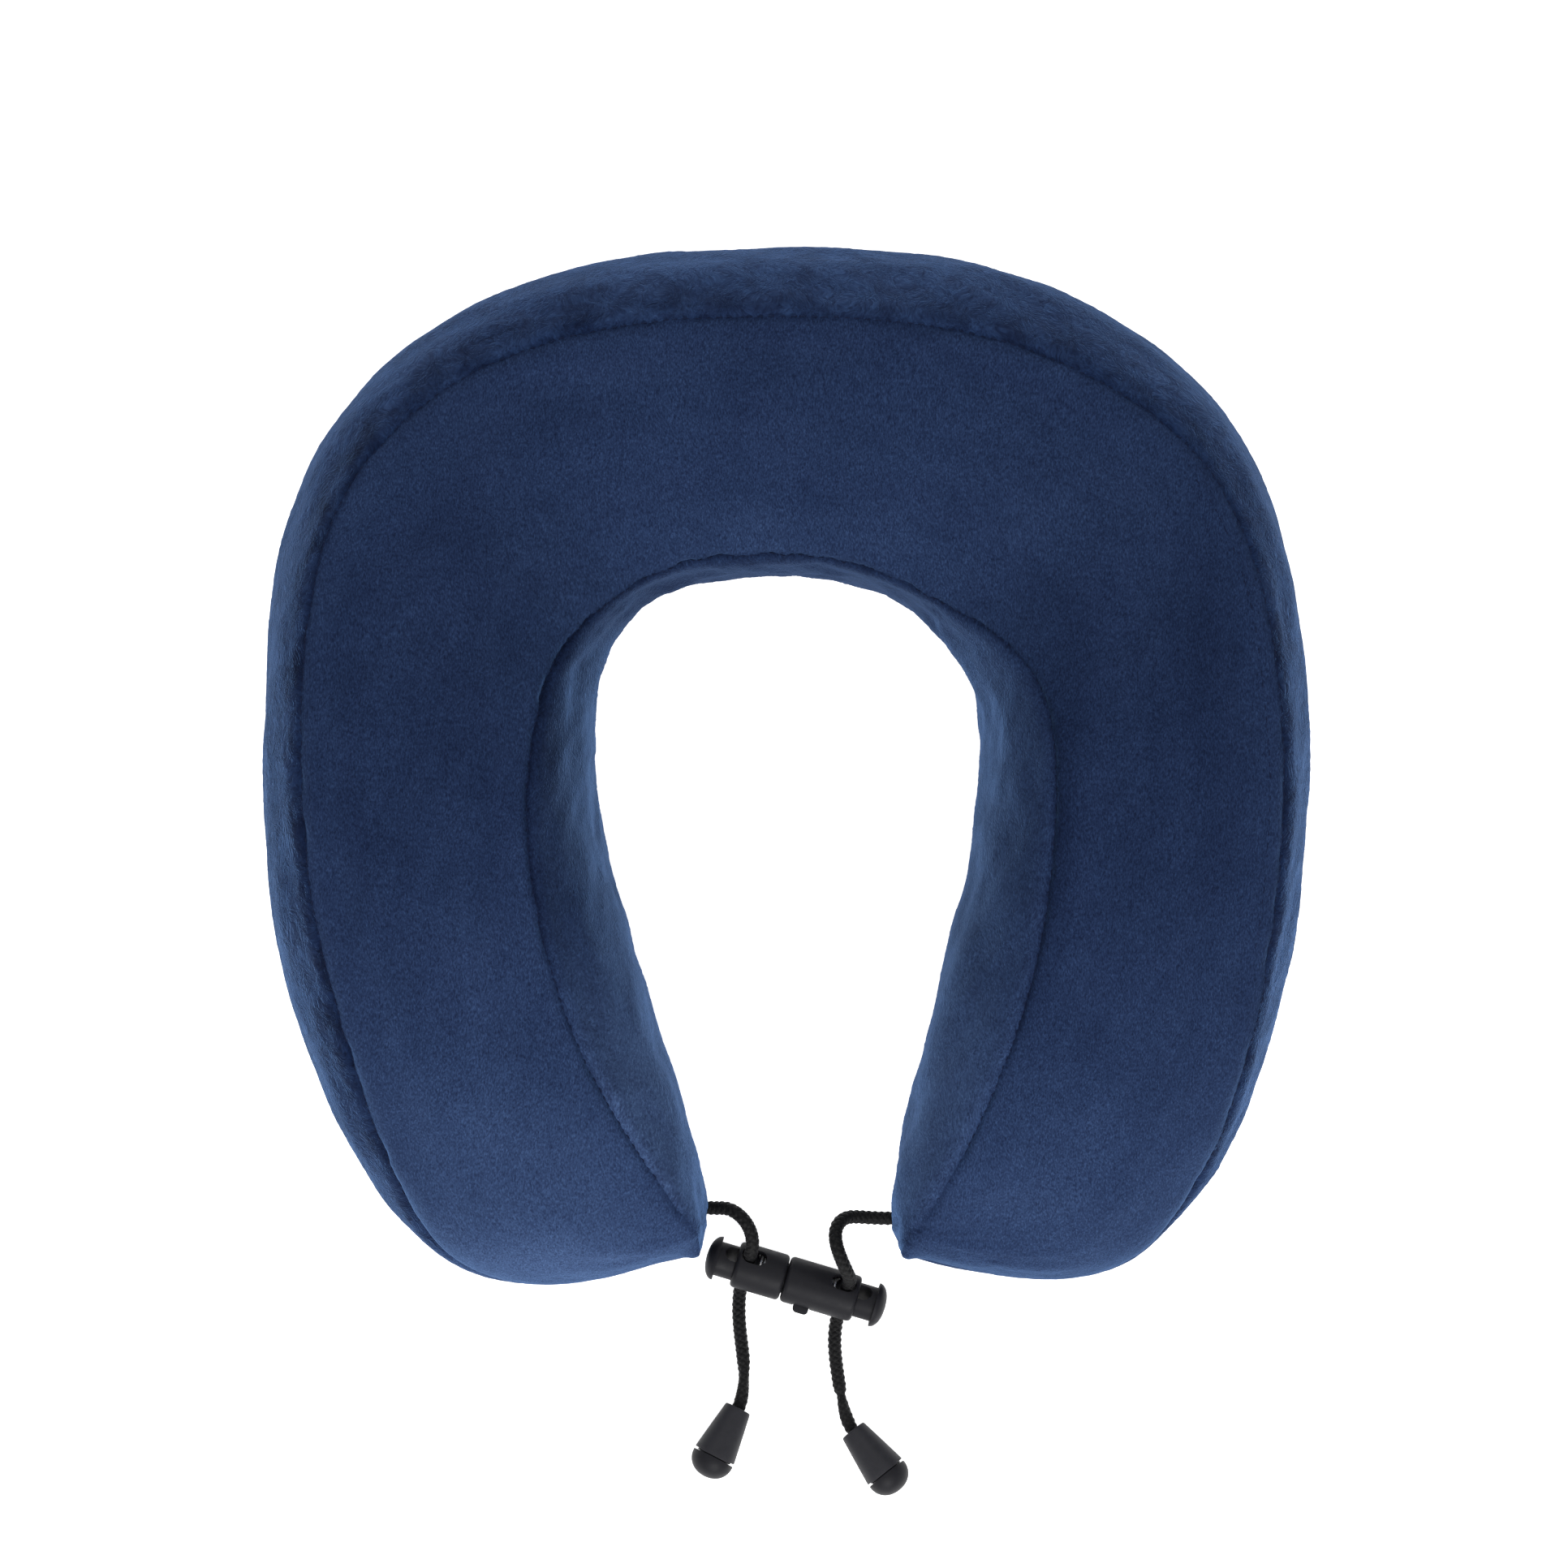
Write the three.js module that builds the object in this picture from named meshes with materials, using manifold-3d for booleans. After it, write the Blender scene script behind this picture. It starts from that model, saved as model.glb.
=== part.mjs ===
import * as THREE from 'three';
import * as BufferGeometryUtils from 'three/addons/utils/BufferGeometryUtils.js';
import Module from 'manifold-3d';

// U shaped neck pillow with a snap clasp. Millimetres, +Z up, back of the U at +Y,
// underside at Z = 0, origin at the centre of the pillow's footprint.

// ---------- driving dimensions ----------
const COVER_T = 1.8;          // plush cover thickness
const GAP = 0.3;              // clearance between touching pieces
const EDGE_IN_OUTER = 10;     // lower seam inset from the outer wall
const EDGE_IN_INNER = 8.5;    // lower seam inset from the inner wall
const SLOT_X = 80, SLOT_Y0 = 92, SLOT_Y1 = 108;   // zip slot in the underside
const ZIP_HALF = 76;          // half length of the zip rows
const ZIP_Y = 100;            // zip centre line
const SLIDER_X = -70;         // slider at rest
const CORD_R = 2;             // braided cord radius
const BARREL_R = 6.9;         // lock housing radius
const BORE_R = 5.4;           // lock chamber radius
const LEFT_LEN = 15.2, RIGHT_LEN = 22;            // housing lengths
const CLASP = [-0.1, -150.2, 11.2];               // split between the halves, on the axis
const CLASP_AXIS = new THREE.Vector3(0.959, -0.284, 0).normalize();
const HOLE_TILT = 52 * Math.PI / 180;             // cord tunnel above horizontal
const LEFT_CORD_S = -11.8, RIGHT_CORD_S = 18.3;   // cord tunnels along the axis
const NECK_OUT = 5.7;         // plunger neck showing at rest

// Stations round the U, one list per side, from the middle of the back to the tip:
// outer x, y, inner x, y, outer seam inset, inner seam inset,
// widest height outside, outer seam height, inner seam height, widest height inside.
const LEFT = [
  [0, 150.3, 0, 56.1, 22.9, 3.5, 42, 88, 70, 34], [-39.3, 148.2, -14.7, 55.4, 23.4, 4.1, 42, 88, 70, 34],
  [-68.3, 142.1, -27.7, 52.3, 22.9, 4.8, 42, 88, 71, 34], [-91.8, 132.7, -37.8, 48.6, 22.4, 4.4, 42, 89, 73, 34],
  [-112.1, 118.6, -45.3, 43.1, 19.3, 4.7, 43, 91, 78, 35], [-128.2, 100.4, -50.7, 35.5, 18.4, 6.7, 44, 95, 85, 36],
  [-138.9, 81, -53.5, 26.1, 16.4, 11, 45, 99, 93, 37], [-145.6, 57.5, -54.9, 15.5, 15.6, 12.9, 46, 103, 100, 38],
  [-148.4, 29.4, -54.9, 1.4, 14.7, 15.7, 46, 106, 106, 38], [-149.6, -1, -53.2, -15, 14.9, 18.7, 46, 107, 108, 38],
  [-148.7, -26.7, -49.7, -32.7, 15.8, 20.2, 45, 104, 106, 37], [-145.6, -50.2, -45.1, -49.2, 15.9, 21.7, 43, 99, 101, 36],
  [-140.4, -73.7, -39.4, -68, 16.3, 22.5, 41, 91, 94, 35], [-132.2, -95.4, -33.1, -88.1, 14, 20, 38, 81, 85, 34],
  [-121.9, -116.4, -27.7, -105.2, 10.4, 14.5, 34, 68, 76, 32], [-110.4, -131.3, -24.7, -116.7, 5.3, 10.5, 30, 55, 68, 30],
  [-98.3, -142.7, -23.5, -123.9, 3, 7.3, 27, 45, 62, 28], [-84.7, -148.3, -23.1, -128.2, 2, 4.4, 25, 38, 58, 27],
  [-68.2, -150.3, -22.8, -131.2, 1.6, 2.7, 24, 34, 54, 26], [-51.6, -148.7, -23.1, -133.6, 1.4, 1.5, 23, 31, 51, 25],
  [-37.4, -145.9, -23.6, -135.6, 1.2, 1, 22, 28, 48, 24], [-27.9, -143.3, -24.1, -137.6, 1, 1, 20, 25, 45, 22]];
const RIGHT = [
  [0, 150.3, 0, 56.1, 22.9, 3.5, 42, 88, 70, 34], [39.5, 147.2, 15.9, 54.9, 23.6, 3.7, 42, 88, 70, 34],
  [65.1, 142.1, 29.3, 50.9, 22.4, 3.2, 42, 88, 71, 34], [89, 132.7, 37.8, 46.2, 23.4, 3.6, 42, 89, 73, 34],
  [111.2, 118.6, 45.3, 38.6, 20.3, 5.9, 43, 91, 78, 35], [127.5, 100.4, 50, 32, 18.2, 9.7, 44, 95, 85, 36],
  [137.7, 81, 54, 23.8, 15.7, 12.6, 45, 99, 93, 37], [144.4, 57.5, 56.1, 13.6, 13.1, 17.2, 46, 103, 100, 38],
  [148.2, 29.4, 56.5, 1.4, 11.6, 18.3, 46, 106, 106, 38], [149.6, -1, 55.1, -15, 10.6, 19.3, 46, 107, 108, 38],
  [148.5, -26.7, 51.9, -32.7, 10.4, 21.2, 45, 104, 106, 37], [145.4, -50.2, 48.1, -49.2, 10.1, 22.6, 43, 99, 101, 36],
  [140.2, -73.7, 43.7, -68, 8.4, 22.9, 41, 91, 94, 35], [133.4, -95.4, 39, -88.1, 6.3, 20.2, 38, 81, 85, 34],
  [123.1, -116.4, 34.8, -105.2, 4.2, 16.6, 34, 68, 76, 32], [113, -131.3, 32.5, -116.7, 3, 12.8, 30, 55, 68, 30],
  [102.4, -142.2, 31.3, -123.9, 2.4, 10.3, 27, 45, 62, 28], [89.5, -146.8, 31.1, -128.2, 2, 8.1, 25, 38, 58, 27],
  [74.1, -148.9, 31.1, -131.2, 1.6, 5.9, 24, 34, 54, 26], [58.7, -147.8, 31.6, -133.8, 1.4, 4, 23, 31, 51, 25],
  [45.7, -145.5, 32.2, -136.1, 1.2, 2.2, 22, 28, 48, 24], [36.8, -143.2, 33.2, -138.2, 1, 1, 20, 25, 45, 22]];
// angle between the crowned top and its chord, at the outer and the inner seam (degrees)
const CROWN_OUT = [20, 20, 20, 20, 20, 20, 20, 20, 20, 20, 21, 23, 27, 34, 46, 60, 68, 66, 60, 50, 36, 19];
const CROWN_IN = [20, 20, 20, 20, 20, 20, 20, 20, 20, 20, 20, 21, 22, 23, 24, 25, 26, 30, 38, 50, 66, 82];

// Cord routes: centre lines from the pillow to the lock, and from the lock into the bell.
const LEFT_UPPER = [[-22.9, -129.2, 14.5], [-21.24, -129.23, 15.11], [-19.58, -129.17, 16.13], [-18.09, -129.1, 17.28], [-16.53, -129.31, 18.38], [-14.96, -129.93, 19.34], [-13.54, -130.87, 20.03], [-12.28, -132.08, 20.48], [-11.19, -133.55, 20.7], [-10.35, -135.21, 20.65], [-9.86, -136.79, 20.39], [-9.63, -138.24, 19.97], [-9.6, -139.68, 19.33], [-9.75, -141, 18.51], [-10.02, -142.13, 17.5]];
const RIGHT_UPPER = [[31.4, -132.3, 14.5], [28.47, -132.26, 14.68], [26.22, -132.15, 14.91], [23.99, -131.99, 15.29], [21.79, -131.8, 15.95], [19.68, -131.69, 16.98], [17.84, -131.92, 18.45], [16.37, -132.63, 20.15], [15.33, -133.84, 21.89], [14.77, -135.49, 23.5], [14.7, -137.41, 24.79], [15.07, -139.49, 25.67], [15.75, -141.68, 26.01], [16.58, -143.82, 25.73], [17.41, -145.79, 24.85], [18.13, -147.44, 23.45], [18.64, -148.71, 21.6], [18.89, -149.68, 19.55], [18.85, -150.67, 17.5]];
const LEFT_TAIL = [[-12.87, -151.75, 4.66], [-13.29, -154, 3.12], [-13.58, -156.63, 2.36], [-13.71, -159.35, 2.15], [-13.68, -162.07, 2.15], [-13.53, -164.77, 2.18], [-13.27, -167.46, 2.24], [-12.95, -170.15, 2.33], [-12.62, -172.84, 2.46], [-12.36, -175.53, 2.63], [-12.23, -178.23, 2.84], [-12.24, -180.92, 3.09], [-12.45, -183.61, 3.38], [-12.89, -186.28, 3.71], [-13.68, -188.86, 4.08]];
const RIGHT_TAIL = [[16, -160.3, 4.66], [15.45, -162.42, 3.16], [14.98, -164.92, 2.39], [14.71, -167.51, 2.15], [14.64, -170.13, 2.15], [14.75, -172.73, 2.18], [14.99, -175.32, 2.24], [15.31, -177.89, 2.34], [15.68, -180.46, 2.47], [16.09, -183.03, 2.64], [16.54, -185.58, 2.85], [17.06, -188.13, 3.1], [17.69, -190.65, 3.38], [18.53, -193.1, 3.71], [19.69, -195.41, 4.08]];
const LEFT_BELL = [[-13.9, -189.3, 4.15], [-21.3, -203.8, 6.5]];   // narrow end, wide end
const RIGHT_BELL = [[20, -195.8, 4.15], [29.9, -208.3, 6.5]];
const BELL_LEN = 16.1, BELL_R0 = 3.9, BELL_R1 = 6.35;

// ---------- materials ----------
const PLUSH = [0x2c3b5d, 1.0, 0], CORD = [0x1b1b1e, 0.9, 0], BLACK = [0x2a2a2d, 0.45, 0];
const FOAM = [0xd8d2c2, 1.0, 0], TAPE = [0x1c2238, 0.95, 0], COIL = [0x23283c, 0.5, 0];
const STEEL = [0xb9bcc0, 0.3, 1], ZIPMETAL = [0x33343a, 0.4, 0.9];

const group = new THREE.Group();
group.name = 'u_shaped_neck_pillow';
function add(name, geometry, look) {
  const mesh = new THREE.Mesh(geometry, new THREE.MeshStandardMaterial({ color: look[0], roughness: look[1], metalness: look[2] }));
  mesh.name = name;
  mesh.material.name = name + '_material';
  group.add(mesh);
}

// ---------- booleans ----------
const wasm = await Module();
wasm.setup();
function solid(geometry) {
  const g = geometry.clone();
  g.deleteAttribute('normal');
  if (g.getAttribute('uv')) g.deleteAttribute('uv');
  const m = BufferGeometryUtils.mergeVertices(g, 1e-4);
  return new wasm.Manifold(new wasm.Mesh({ numProp: 3, vertProperties: new Float32Array(m.getAttribute('position').array), triVerts: new Uint32Array(m.index.array) }));
}
function geometryOf(manifold) {
  const m = manifold.getMesh();
  const g = new THREE.BufferGeometry();
  g.setAttribute('position', new THREE.BufferAttribute(new Float32Array(m.vertProperties), 3));
  g.setIndex(new THREE.BufferAttribute(new Uint32Array(m.triVerts), 1));
  const flat = g.toNonIndexed();
  flat.computeVertexNormals();
  return flat;
}
function box(x0, x1, y0, y1, z0, z1) {
  return new THREE.BoxGeometry(x1 - x0, y1 - y0, z1 - z0).translate((x0 + x1) / 2, (y0 + y1) / 2, (z0 + z1) / 2);
}

// ---------- pillow cross-sections ----------
const rad = (d) => d * Math.PI / 180;
function section(row, crownOut, crownIn) {
  const [ox, oy, ix, iy, a, b, zO, zOS, zIS, zI] = row;
  const W = Math.hypot(ix - ox, iy - oy);
  const vx = (ix - ox) / W, vy = (iy - oy) / W;
  const bo = Math.min(EDGE_IN_OUTER, 0.3 * W), bi = Math.min(EDGE_IN_INNER, 0.26 * W);
  const outer = [], inner = [], top = [], bottom = [];
  for (let i = 0; i <= 3; i++) { const t = rad(30 * i); outer.push([bo * (1 - Math.sin(t)), zO * (1 - Math.cos(t))]); }
  for (let i = 1; i <= 4; i++) { const t = rad(65 * i / 4); outer.push([a * (1 - Math.cos(t)) / (1 - Math.cos(rad(65))), zO + (zOS - zO) * Math.sin(t) / Math.sin(rad(65))]); }
  const p0 = [a, zOS], p3 = [W - b, zIS];
  const L = Math.hypot(p3[0] - p0[0], p3[1] - p0[1]), chord = Math.atan2(p3[1] - p0[1], p3[0] - p0[0]);
  const d0 = chord + rad(crownOut), d3 = chord - rad(crownIn), h = 0.38 * L;
  const p1 = [p0[0] + h * Math.cos(d0), p0[1] + h * Math.sin(d0)], p2 = [p3[0] - h * Math.cos(d3), p3[1] - h * Math.sin(d3)];
  for (let i = 0; i <= 7; i++) {
    const t = i / 7, s = 1 - t;
    top.push([0, 1].map((c) => s * s * s * p0[c] + 3 * s * s * t * p1[c] + 3 * s * t * t * p2[c] + t * t * t * p3[c]));
  }
  for (let i = 4; i >= 0; i--) { const t = rad(65 * i / 4); inner.push([W - b * (1 - Math.cos(t)) / (1 - Math.cos(rad(65))), zI + (zIS - zI) * Math.sin(t) / Math.sin(rad(65))]); }
  for (let i = 2; i >= 0; i--) { const t = rad(30 * i); inner.push([W - bi * (1 - Math.sin(t)), zI * (1 - Math.cos(t))]); }
  for (let i = 0; i <= 3; i++) bottom.push([W - bi - (W - bi - bo) * i / 3, 0]);
  const R = Math.min(W / 2, 30), zT = Math.max(zOS, zIS) - 2, Rz = Math.min(R, 0.42 * zT);
  const inward = (p) => {
    const c = [Math.min(Math.max(p[0], R), W - R), Math.min(Math.max(p[1], Rz), zT - Rz)];
    const d = Math.hypot(c[0] - p[0], c[1] - p[1]);
    return (t) => { const r = Math.min(t, d - 0.5) / d; return [p[0] + (c[0] - p[0]) * r, p[1] + (c[1] - p[1]) * r]; };
  };
  const place = (p) => [ox + vx * p[0], oy + vy * p[0], p[1]];
  return { W, outer, top, inner, bottom, inward, place };
}
const sections = [];
for (let k = 21; k >= 0; k--) sections.push(section(LEFT[k], CROWN_OUT[k], CROWN_IN[k]));
for (let k = 1; k <= 21; k++) sections.push(section(RIGHT[k], CROWN_OUT[k], CROWN_IN[k]));
const LAST = sections.length - 1;
// the cover closes up to a fine slit at each tip
const thickness = sections.map((s, k) => (k === 0 || k === LAST ? (s.W - 1) / 2 : COVER_T));

function trimmed(line) {
  const out = line.map((p) => [...p]);
  const shift = (p, q) => { const d = Math.hypot(q[0] - p[0], q[1] - p[1]); return [p[0] + (q[0] - p[0]) * GAP / 2 / d, p[1] + (q[1] - p[1]) * GAP / 2 / d]; };
  out[0] = shift(line[0], line[1]);
  out[out.length - 1] = shift(line[line.length - 1], line[line.length - 2]);
  return out;
}
// a closed solid through rings of 3-D points; every ring has the same number of points
function sweep(rings, flats, turnFrom = 1e9) {
  const n = rings[0].length, pos = [], idx = [];
  rings.forEach((r) => r.forEach((p) => pos.push(...p)));
  for (let k = 0; k < rings.length - 1; k++) for (let i = 0; i < n; i++) {
    const j = (i + 1) % n, a = k * n + i, b = k * n + j, c = (k + 1) * n + j, d = (k + 1) * n + i;
    // facing surfaces of neighbouring pieces share their diagonals
    if (i < turnFrom) idx.push(a, b, c, a, c, d); else idx.push(a, b, d, b, c, d);
  }
  const cap = (flat, base, reversed) => {
    const v = flat.map((p) => new THREE.Vector2(p[0], p[1])), way = Math.sign(THREE.ShapeUtils.area(v)) * (reversed ? -1 : 1);
    for (const [a, b, c] of THREE.ShapeUtils.triangulateShape(v, [])) {
      const turn = (v[b].x - v[a].x) * (v[c].y - v[a].y) - (v[b].y - v[a].y) * (v[c].x - v[a].x);
      idx.push(base + a, base + (turn * way > 0 ? b : c), base + (turn * way > 0 ? c : b));
    }
  };
  cap(flats[0], 0, true);
  cap(flats[1], (rings.length - 1) * n, false);
  const build = (reverse) => {
    const g = new THREE.BufferGeometry();
    g.setAttribute('position', new THREE.BufferAttribute(new Float32Array(pos), 3));
    const order = [];
    for (let i = 0; i < idx.length; i += 3) order.push(idx[i], reverse ? idx[i + 2] : idx[i + 1], reverse ? idx[i + 1] : idx[i + 2]);
    g.setIndex(order);
    return g;
  };
  let g = build(false), v = 0;
  const P = g.getAttribute('position'), I = g.index.array;
  for (let i = 0; i < I.length; i += 3) {
    const [a, b, c] = [0, 1, 2].map((k) => new THREE.Vector3().fromBufferAttribute(P, I[i + k]));
    v += a.dot(b.cross(c)) / 6;
  }
  if (v < 0) g = build(true);
  g.computeVertexNormals();
  return g;
}
function panel(key) {
  const flats = [], rings = sections.map((s, k) => {
    const face = trimmed(s[key]), t = thickness[k];
    const back = face.map((p) => s.inward(p)(t)).reverse();
    const ring = [...face, ...back];
    if (k === 0 || k === LAST) flats.push(ring);
    return ring.map(s.place);
  });
  return sweep(rings, flats, rings[0].length / 2);
}
function core() {
  const ring2d = (s, t) => [...s.outer, ...s.top.slice(1), ...s.inner.slice(1), ...s.bottom.slice(1, -1)].map((p) => s.inward(p)(t));
  const flat = sections.map((s, k) => ring2d(s, thickness[k] + GAP + (k < 2 || k > LAST - 2 ? 0.5 : 0)));
  const rings = flat.map((r, k) => r.map(sections[k].place));
  const mix = (A, B, t) => A.map((p, i) => p.map((c, j) => c * (1 - t) + B[i][j] * t));
  const END = 0.2;
  const first = mix(rings[1], rings[0], END), last = mix(rings[LAST - 1], rings[LAST], END);
  const f0 = mix(flat[1], flat[0], END), f1 = mix(flat[LAST - 1], flat[LAST], END);
  return sweep([first, ...rings.slice(1, LAST), last], [f0, f1]);
}
add('top_panel', panel('top'), PLUSH);
add('outer_wall_panel', panel('outer'), PLUSH);
add('inner_wall_panel', panel('inner'), PLUSH);
add('bottom_panel', geometryOf(solid(panel('bottom')).subtract(solid(box(-SLOT_X, SLOT_X, SLOT_Y0, SLOT_Y1, -3, 6)))), PLUSH);
add('foam_core', geometryOf(solid(core()).subtract(solid(box(-SLOT_X - 3, SLOT_X + 3, ZIP_Y - 12.5, ZIP_Y + 12.5, -3, 7.6)))), FOAM);

// ---------- zip ----------
function prism(points, depth) {   // outline in its own XY plane, thickness along +Z
  const s = new THREE.Shape(points.map((p) => new THREE.Vector2(p[0], p[1])));
  return new THREE.ExtrudeGeometry(s, { depth, bevelEnabled: false });
}
const intoYZ = new THREE.Matrix4().makeBasis(new THREE.Vector3(0, 1, 0), new THREE.Vector3(0, 0, 1), new THREE.Vector3(1, 0, 0));
function tape(side) {             // folded tape: sewn flange, web and coil edge
  const p = [[12, 2.1], [12, 2.7], [8, 2.7], [8, 5], [2.6, 5], [2.6, 4.4], [7.4, 4.4], [7.4, 2.1]].map(([y, z]) => [ZIP_Y + side * y, z]);
  if (side < 0) p.reverse();
  return prism(p, 2 * (ZIP_HALF + 3)).applyMatrix4(intoYZ).translate(-ZIP_HALF - 3, 0, 0);
}
add('zip_tape_back', tape(1), TAPE);
add('zip_tape_front', tape(-1), TAPE);
function coil(side) {
  const p = [[ZIP_HALF, 2.3], [-ZIP_HALF, 2.3], [-ZIP_HALF, 1.4]], pitch = 4.75, half = ZIP_HALF;
  for (let x = -half; x < half - 0.01; x += pitch) p.push([x + 1, 1.4], [x + 1.6, 0.6], [x + 3.1, 0.6], [x + 3.7, 1.4]);
  p.push([half, 1.4]);
  const q = p.map(([x, y]) => [x, ZIP_Y + side * y]);
  if (side > 0) q.reverse();
  return prism(q, 1.6).translate(0, 0, 3.9);
}
add('zip_coil_back', coil(1), COIL);
add('zip_coil_front', coil(-1), COIL);
add('zip_stop_left', box(-ZIP_HALF - 2.4, -ZIP_HALF - 0.3, ZIP_Y - 2.3, ZIP_Y + 2.3, 3.9, 5.5), ZIPMETAL);
add('zip_stop_right', box(ZIP_HALF + 0.3, ZIP_HALF + 2.4, ZIP_Y - 2.3, ZIP_Y + 2.3, 3.9, 5.5), ZIPMETAL);
{
  const X = SLIDER_X, Y = ZIP_Y;
  const parts = [
    box(X - 5, X + 5, Y - 4.4, Y + 4.4, 2.7, 3.6), box(X - 5, X + 5, Y - 4.4, Y + 4.4, 5.8, 6.7),
    box(X - 1.5, X + 1.5, Y - 0.3, Y + 0.3, 3.5, 5.9),
    box(X - 5, X + 5, Y + 3.4, Y + 4.4, 3.5, 4.1), box(X - 5, X + 5, Y - 4.4, Y - 3.4, 3.5, 4.1),
    box(X - 5, X + 5, Y + 3.4, Y + 4.4, 5.3, 5.9), box(X - 5, X + 5, Y - 4.4, Y - 3.4, 5.3, 5.9),
    box(X - 2.6, X - 1.5, Y - 0.8, Y + 0.8, 0.9, 2.8), box(X + 1.5, X + 2.6, Y - 0.8, Y + 0.8, 0.9, 2.8),
    box(X - 2.6, X + 2.6, Y - 0.8, Y + 0.8, 0.9, 1.7)];
  let body = solid(parts[0]);
  for (const p of parts.slice(1)) body = body.add(solid(p));
  add('zip_slider', geometryOf(body), ZIPMETAL);
  const tab = prism([[-0.3, -2.4], [3.6, -2.4], [6, -3], [18.6, -3], [20, -1.6], [20, 1.6], [18.6, 3], [6, 3], [3.6, 2.4], [-0.3, 2.4]].map(([x, y]) => [X + x, Y + y]), 0.6).translate(0, 0, 1.9);
  const eye = box(X + 0.3, X + 3.1, Y - 1.3, Y + 1.3, 1, 4), hole = box(X + 15, X + 18, Y - 1.4, Y + 1.4, 1, 4);
  add('zip_pull', geometryOf(solid(tab).subtract(solid(eye)).subtract(solid(hole))), ZIPMETAL);
}

// ---------- clasp ----------
const claspNormal = new THREE.Vector3(-CLASP_AXIS.y, CLASP_AXIS.x, 0);
const claspFrame = new THREE.Matrix4().makeBasis(CLASP_AXIS, claspNormal, new THREE.Vector3(0, 0, 1)).setPosition(...CLASP);
const tunnel = new THREE.Vector3(0, Math.cos(HOLE_TILT), Math.sin(HOLE_TILT));   // in the clasp frame
const tunnelWorld = claspNormal.clone().multiplyScalar(Math.cos(HOLE_TILT)).add(new THREE.Vector3(0, 0, Math.sin(HOLE_TILT)));
const onAxis = (s) => new THREE.Vector3(...CLASP).addScaledVector(CLASP_AXIS, s);
// turned piece about the clasp axis: profile of [position, radius], closed onto the axis
function turned(profile, segments = 20) {
  const g = new THREE.LatheGeometry(profile.map(([s, r]) => new THREE.Vector2(Math.max(r, 0), s)), segments);
  // lathe axis Y becomes the clasp axis X
  return g.applyMatrix4(new THREE.Matrix4().makeBasis(new THREE.Vector3(0, 0, 1), new THREE.Vector3(1, 0, 0), new THREE.Vector3(0, 1, 0)));
}
const rod = (s0, s1, r, n = 20) => turned([[s0, 0], [s0, r], [s1, r], [s1, 0]], n);
// oval hole along the tunnel, from s0 to s1 along the axis and the given width
function oval(s0, s1, width) {
  const r = width / 2, pts = [];
  for (let i = 0; i <= 5; i++) { const t = -Math.PI / 2 + Math.PI * i / 5; pts.push([s1 - r + r * Math.cos(t), r * Math.sin(t)]); }
  for (let i = 0; i <= 5; i++) { const t = Math.PI / 2 + Math.PI * i / 5; pts.push([s0 + r + r * Math.cos(t), r * Math.sin(t)]); }
  const g = prism(pts, 24).translate(0, 0, -12);
  const across = new THREE.Vector3().crossVectors(tunnel, new THREE.Vector3(1, 0, 0));
  return g.applyMatrix4(new THREE.Matrix4().makeBasis(new THREE.Vector3(1, 0, 0), across, tunnel));
}
const E = 1.4;   // rounded housing edge
const rounded = (s0, s1, r) => [[s0, 0], [s0, r - E], [s0 + 0.3 * E, r - 0.3 * E], [s0 + E, r], [s1 - E, r], [s1 - 0.3 * E, r - 0.3 * E], [s1, r - E], [s1, 0]];
const clasp = (m) => geometryOf(m).applyMatrix4(claspFrame);
{
  let b = solid(turned(rounded(-LEFT_LEN, -GAP / 2, BARREL_R)));
  b = b.subtract(solid(rod(-LEFT_LEN - 1, -2.3, BORE_R)));
  b = b.add(solid(rod(-1, 6.2, 4.5)));                                   // snap insert
  b = b.subtract(solid(box(3.9, 6.8, -9, -3.4, -6, 6)));                 // relief under the latch
  b = b.subtract(solid(oval(LEFT_CORD_S - 2.4, LEFT_CORD_S + 5.1, 5.1)));
  add('left_barrel', clasp(b), BLACK);
  let r = solid(turned(rounded(GAP / 2, RIGHT_LEN, BARREL_R)));
  r = r.subtract(solid(rod(-1, 6.9, 4.8)));                              // socket
  r = r.subtract(solid(rod(8.5, RIGHT_LEN + 1, BORE_R)));                // spring chamber
  r = r.subtract(solid(box(4.3, 6.5, -12, -4, -2.4, 2.4)));              // latch window
  r = r.subtract(solid(box(4.3, 9.5, -12, -5.7, -2.4, 2.4)));            // button pocket
  r = r.subtract(solid(oval(RIGHT_CORD_S - 5.1, RIGHT_CORD_S + 2.4, 5.1)));
  add('right_barrel', clasp(r), BLACK);
  const button = solid(box(4.6, 9.2, -8.6, -6.5, -2.1, 2.1)).add(solid(box(4.6, 6.2, -6.6, -4.9, -2.1, 2.1)));
  add('release_button', clasp(button), BLACK);
}
function plunger(side, end, cordS) {   // side -1 left, +1 right; end = housing end, cordS = tunnel
  const at = (d) => end + side * d;      // distance outwards from the housing end
  const inner = cordS - side * 3.5, p = [[inner, 0], [inner, 5.1], [at(NECK_OUT), 5.1], [at(NECK_OUT), 6.5], [at(NECK_OUT + 0.8), 6.6], [at(NECK_OUT + 2), 5.6], [at(NECK_OUT + 2.8), 3.4], [at(NECK_OUT + 3.1), 0]];
  if (side < 0) p.reverse();
  let m = solid(turned(p));
  const far = at(NECK_OUT - 1.9), near = cordS - side * 2.4;
  m = m.subtract(solid(oval(Math.min(far, near), Math.max(far, near), 4.9)));
  return clasp(m);
}
add('left_plunger', plunger(-1, -LEFT_LEN, LEFT_CORD_S), BLACK);
add('right_plunger', plunger(1, RIGHT_LEN, RIGHT_CORD_S), BLACK);
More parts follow.
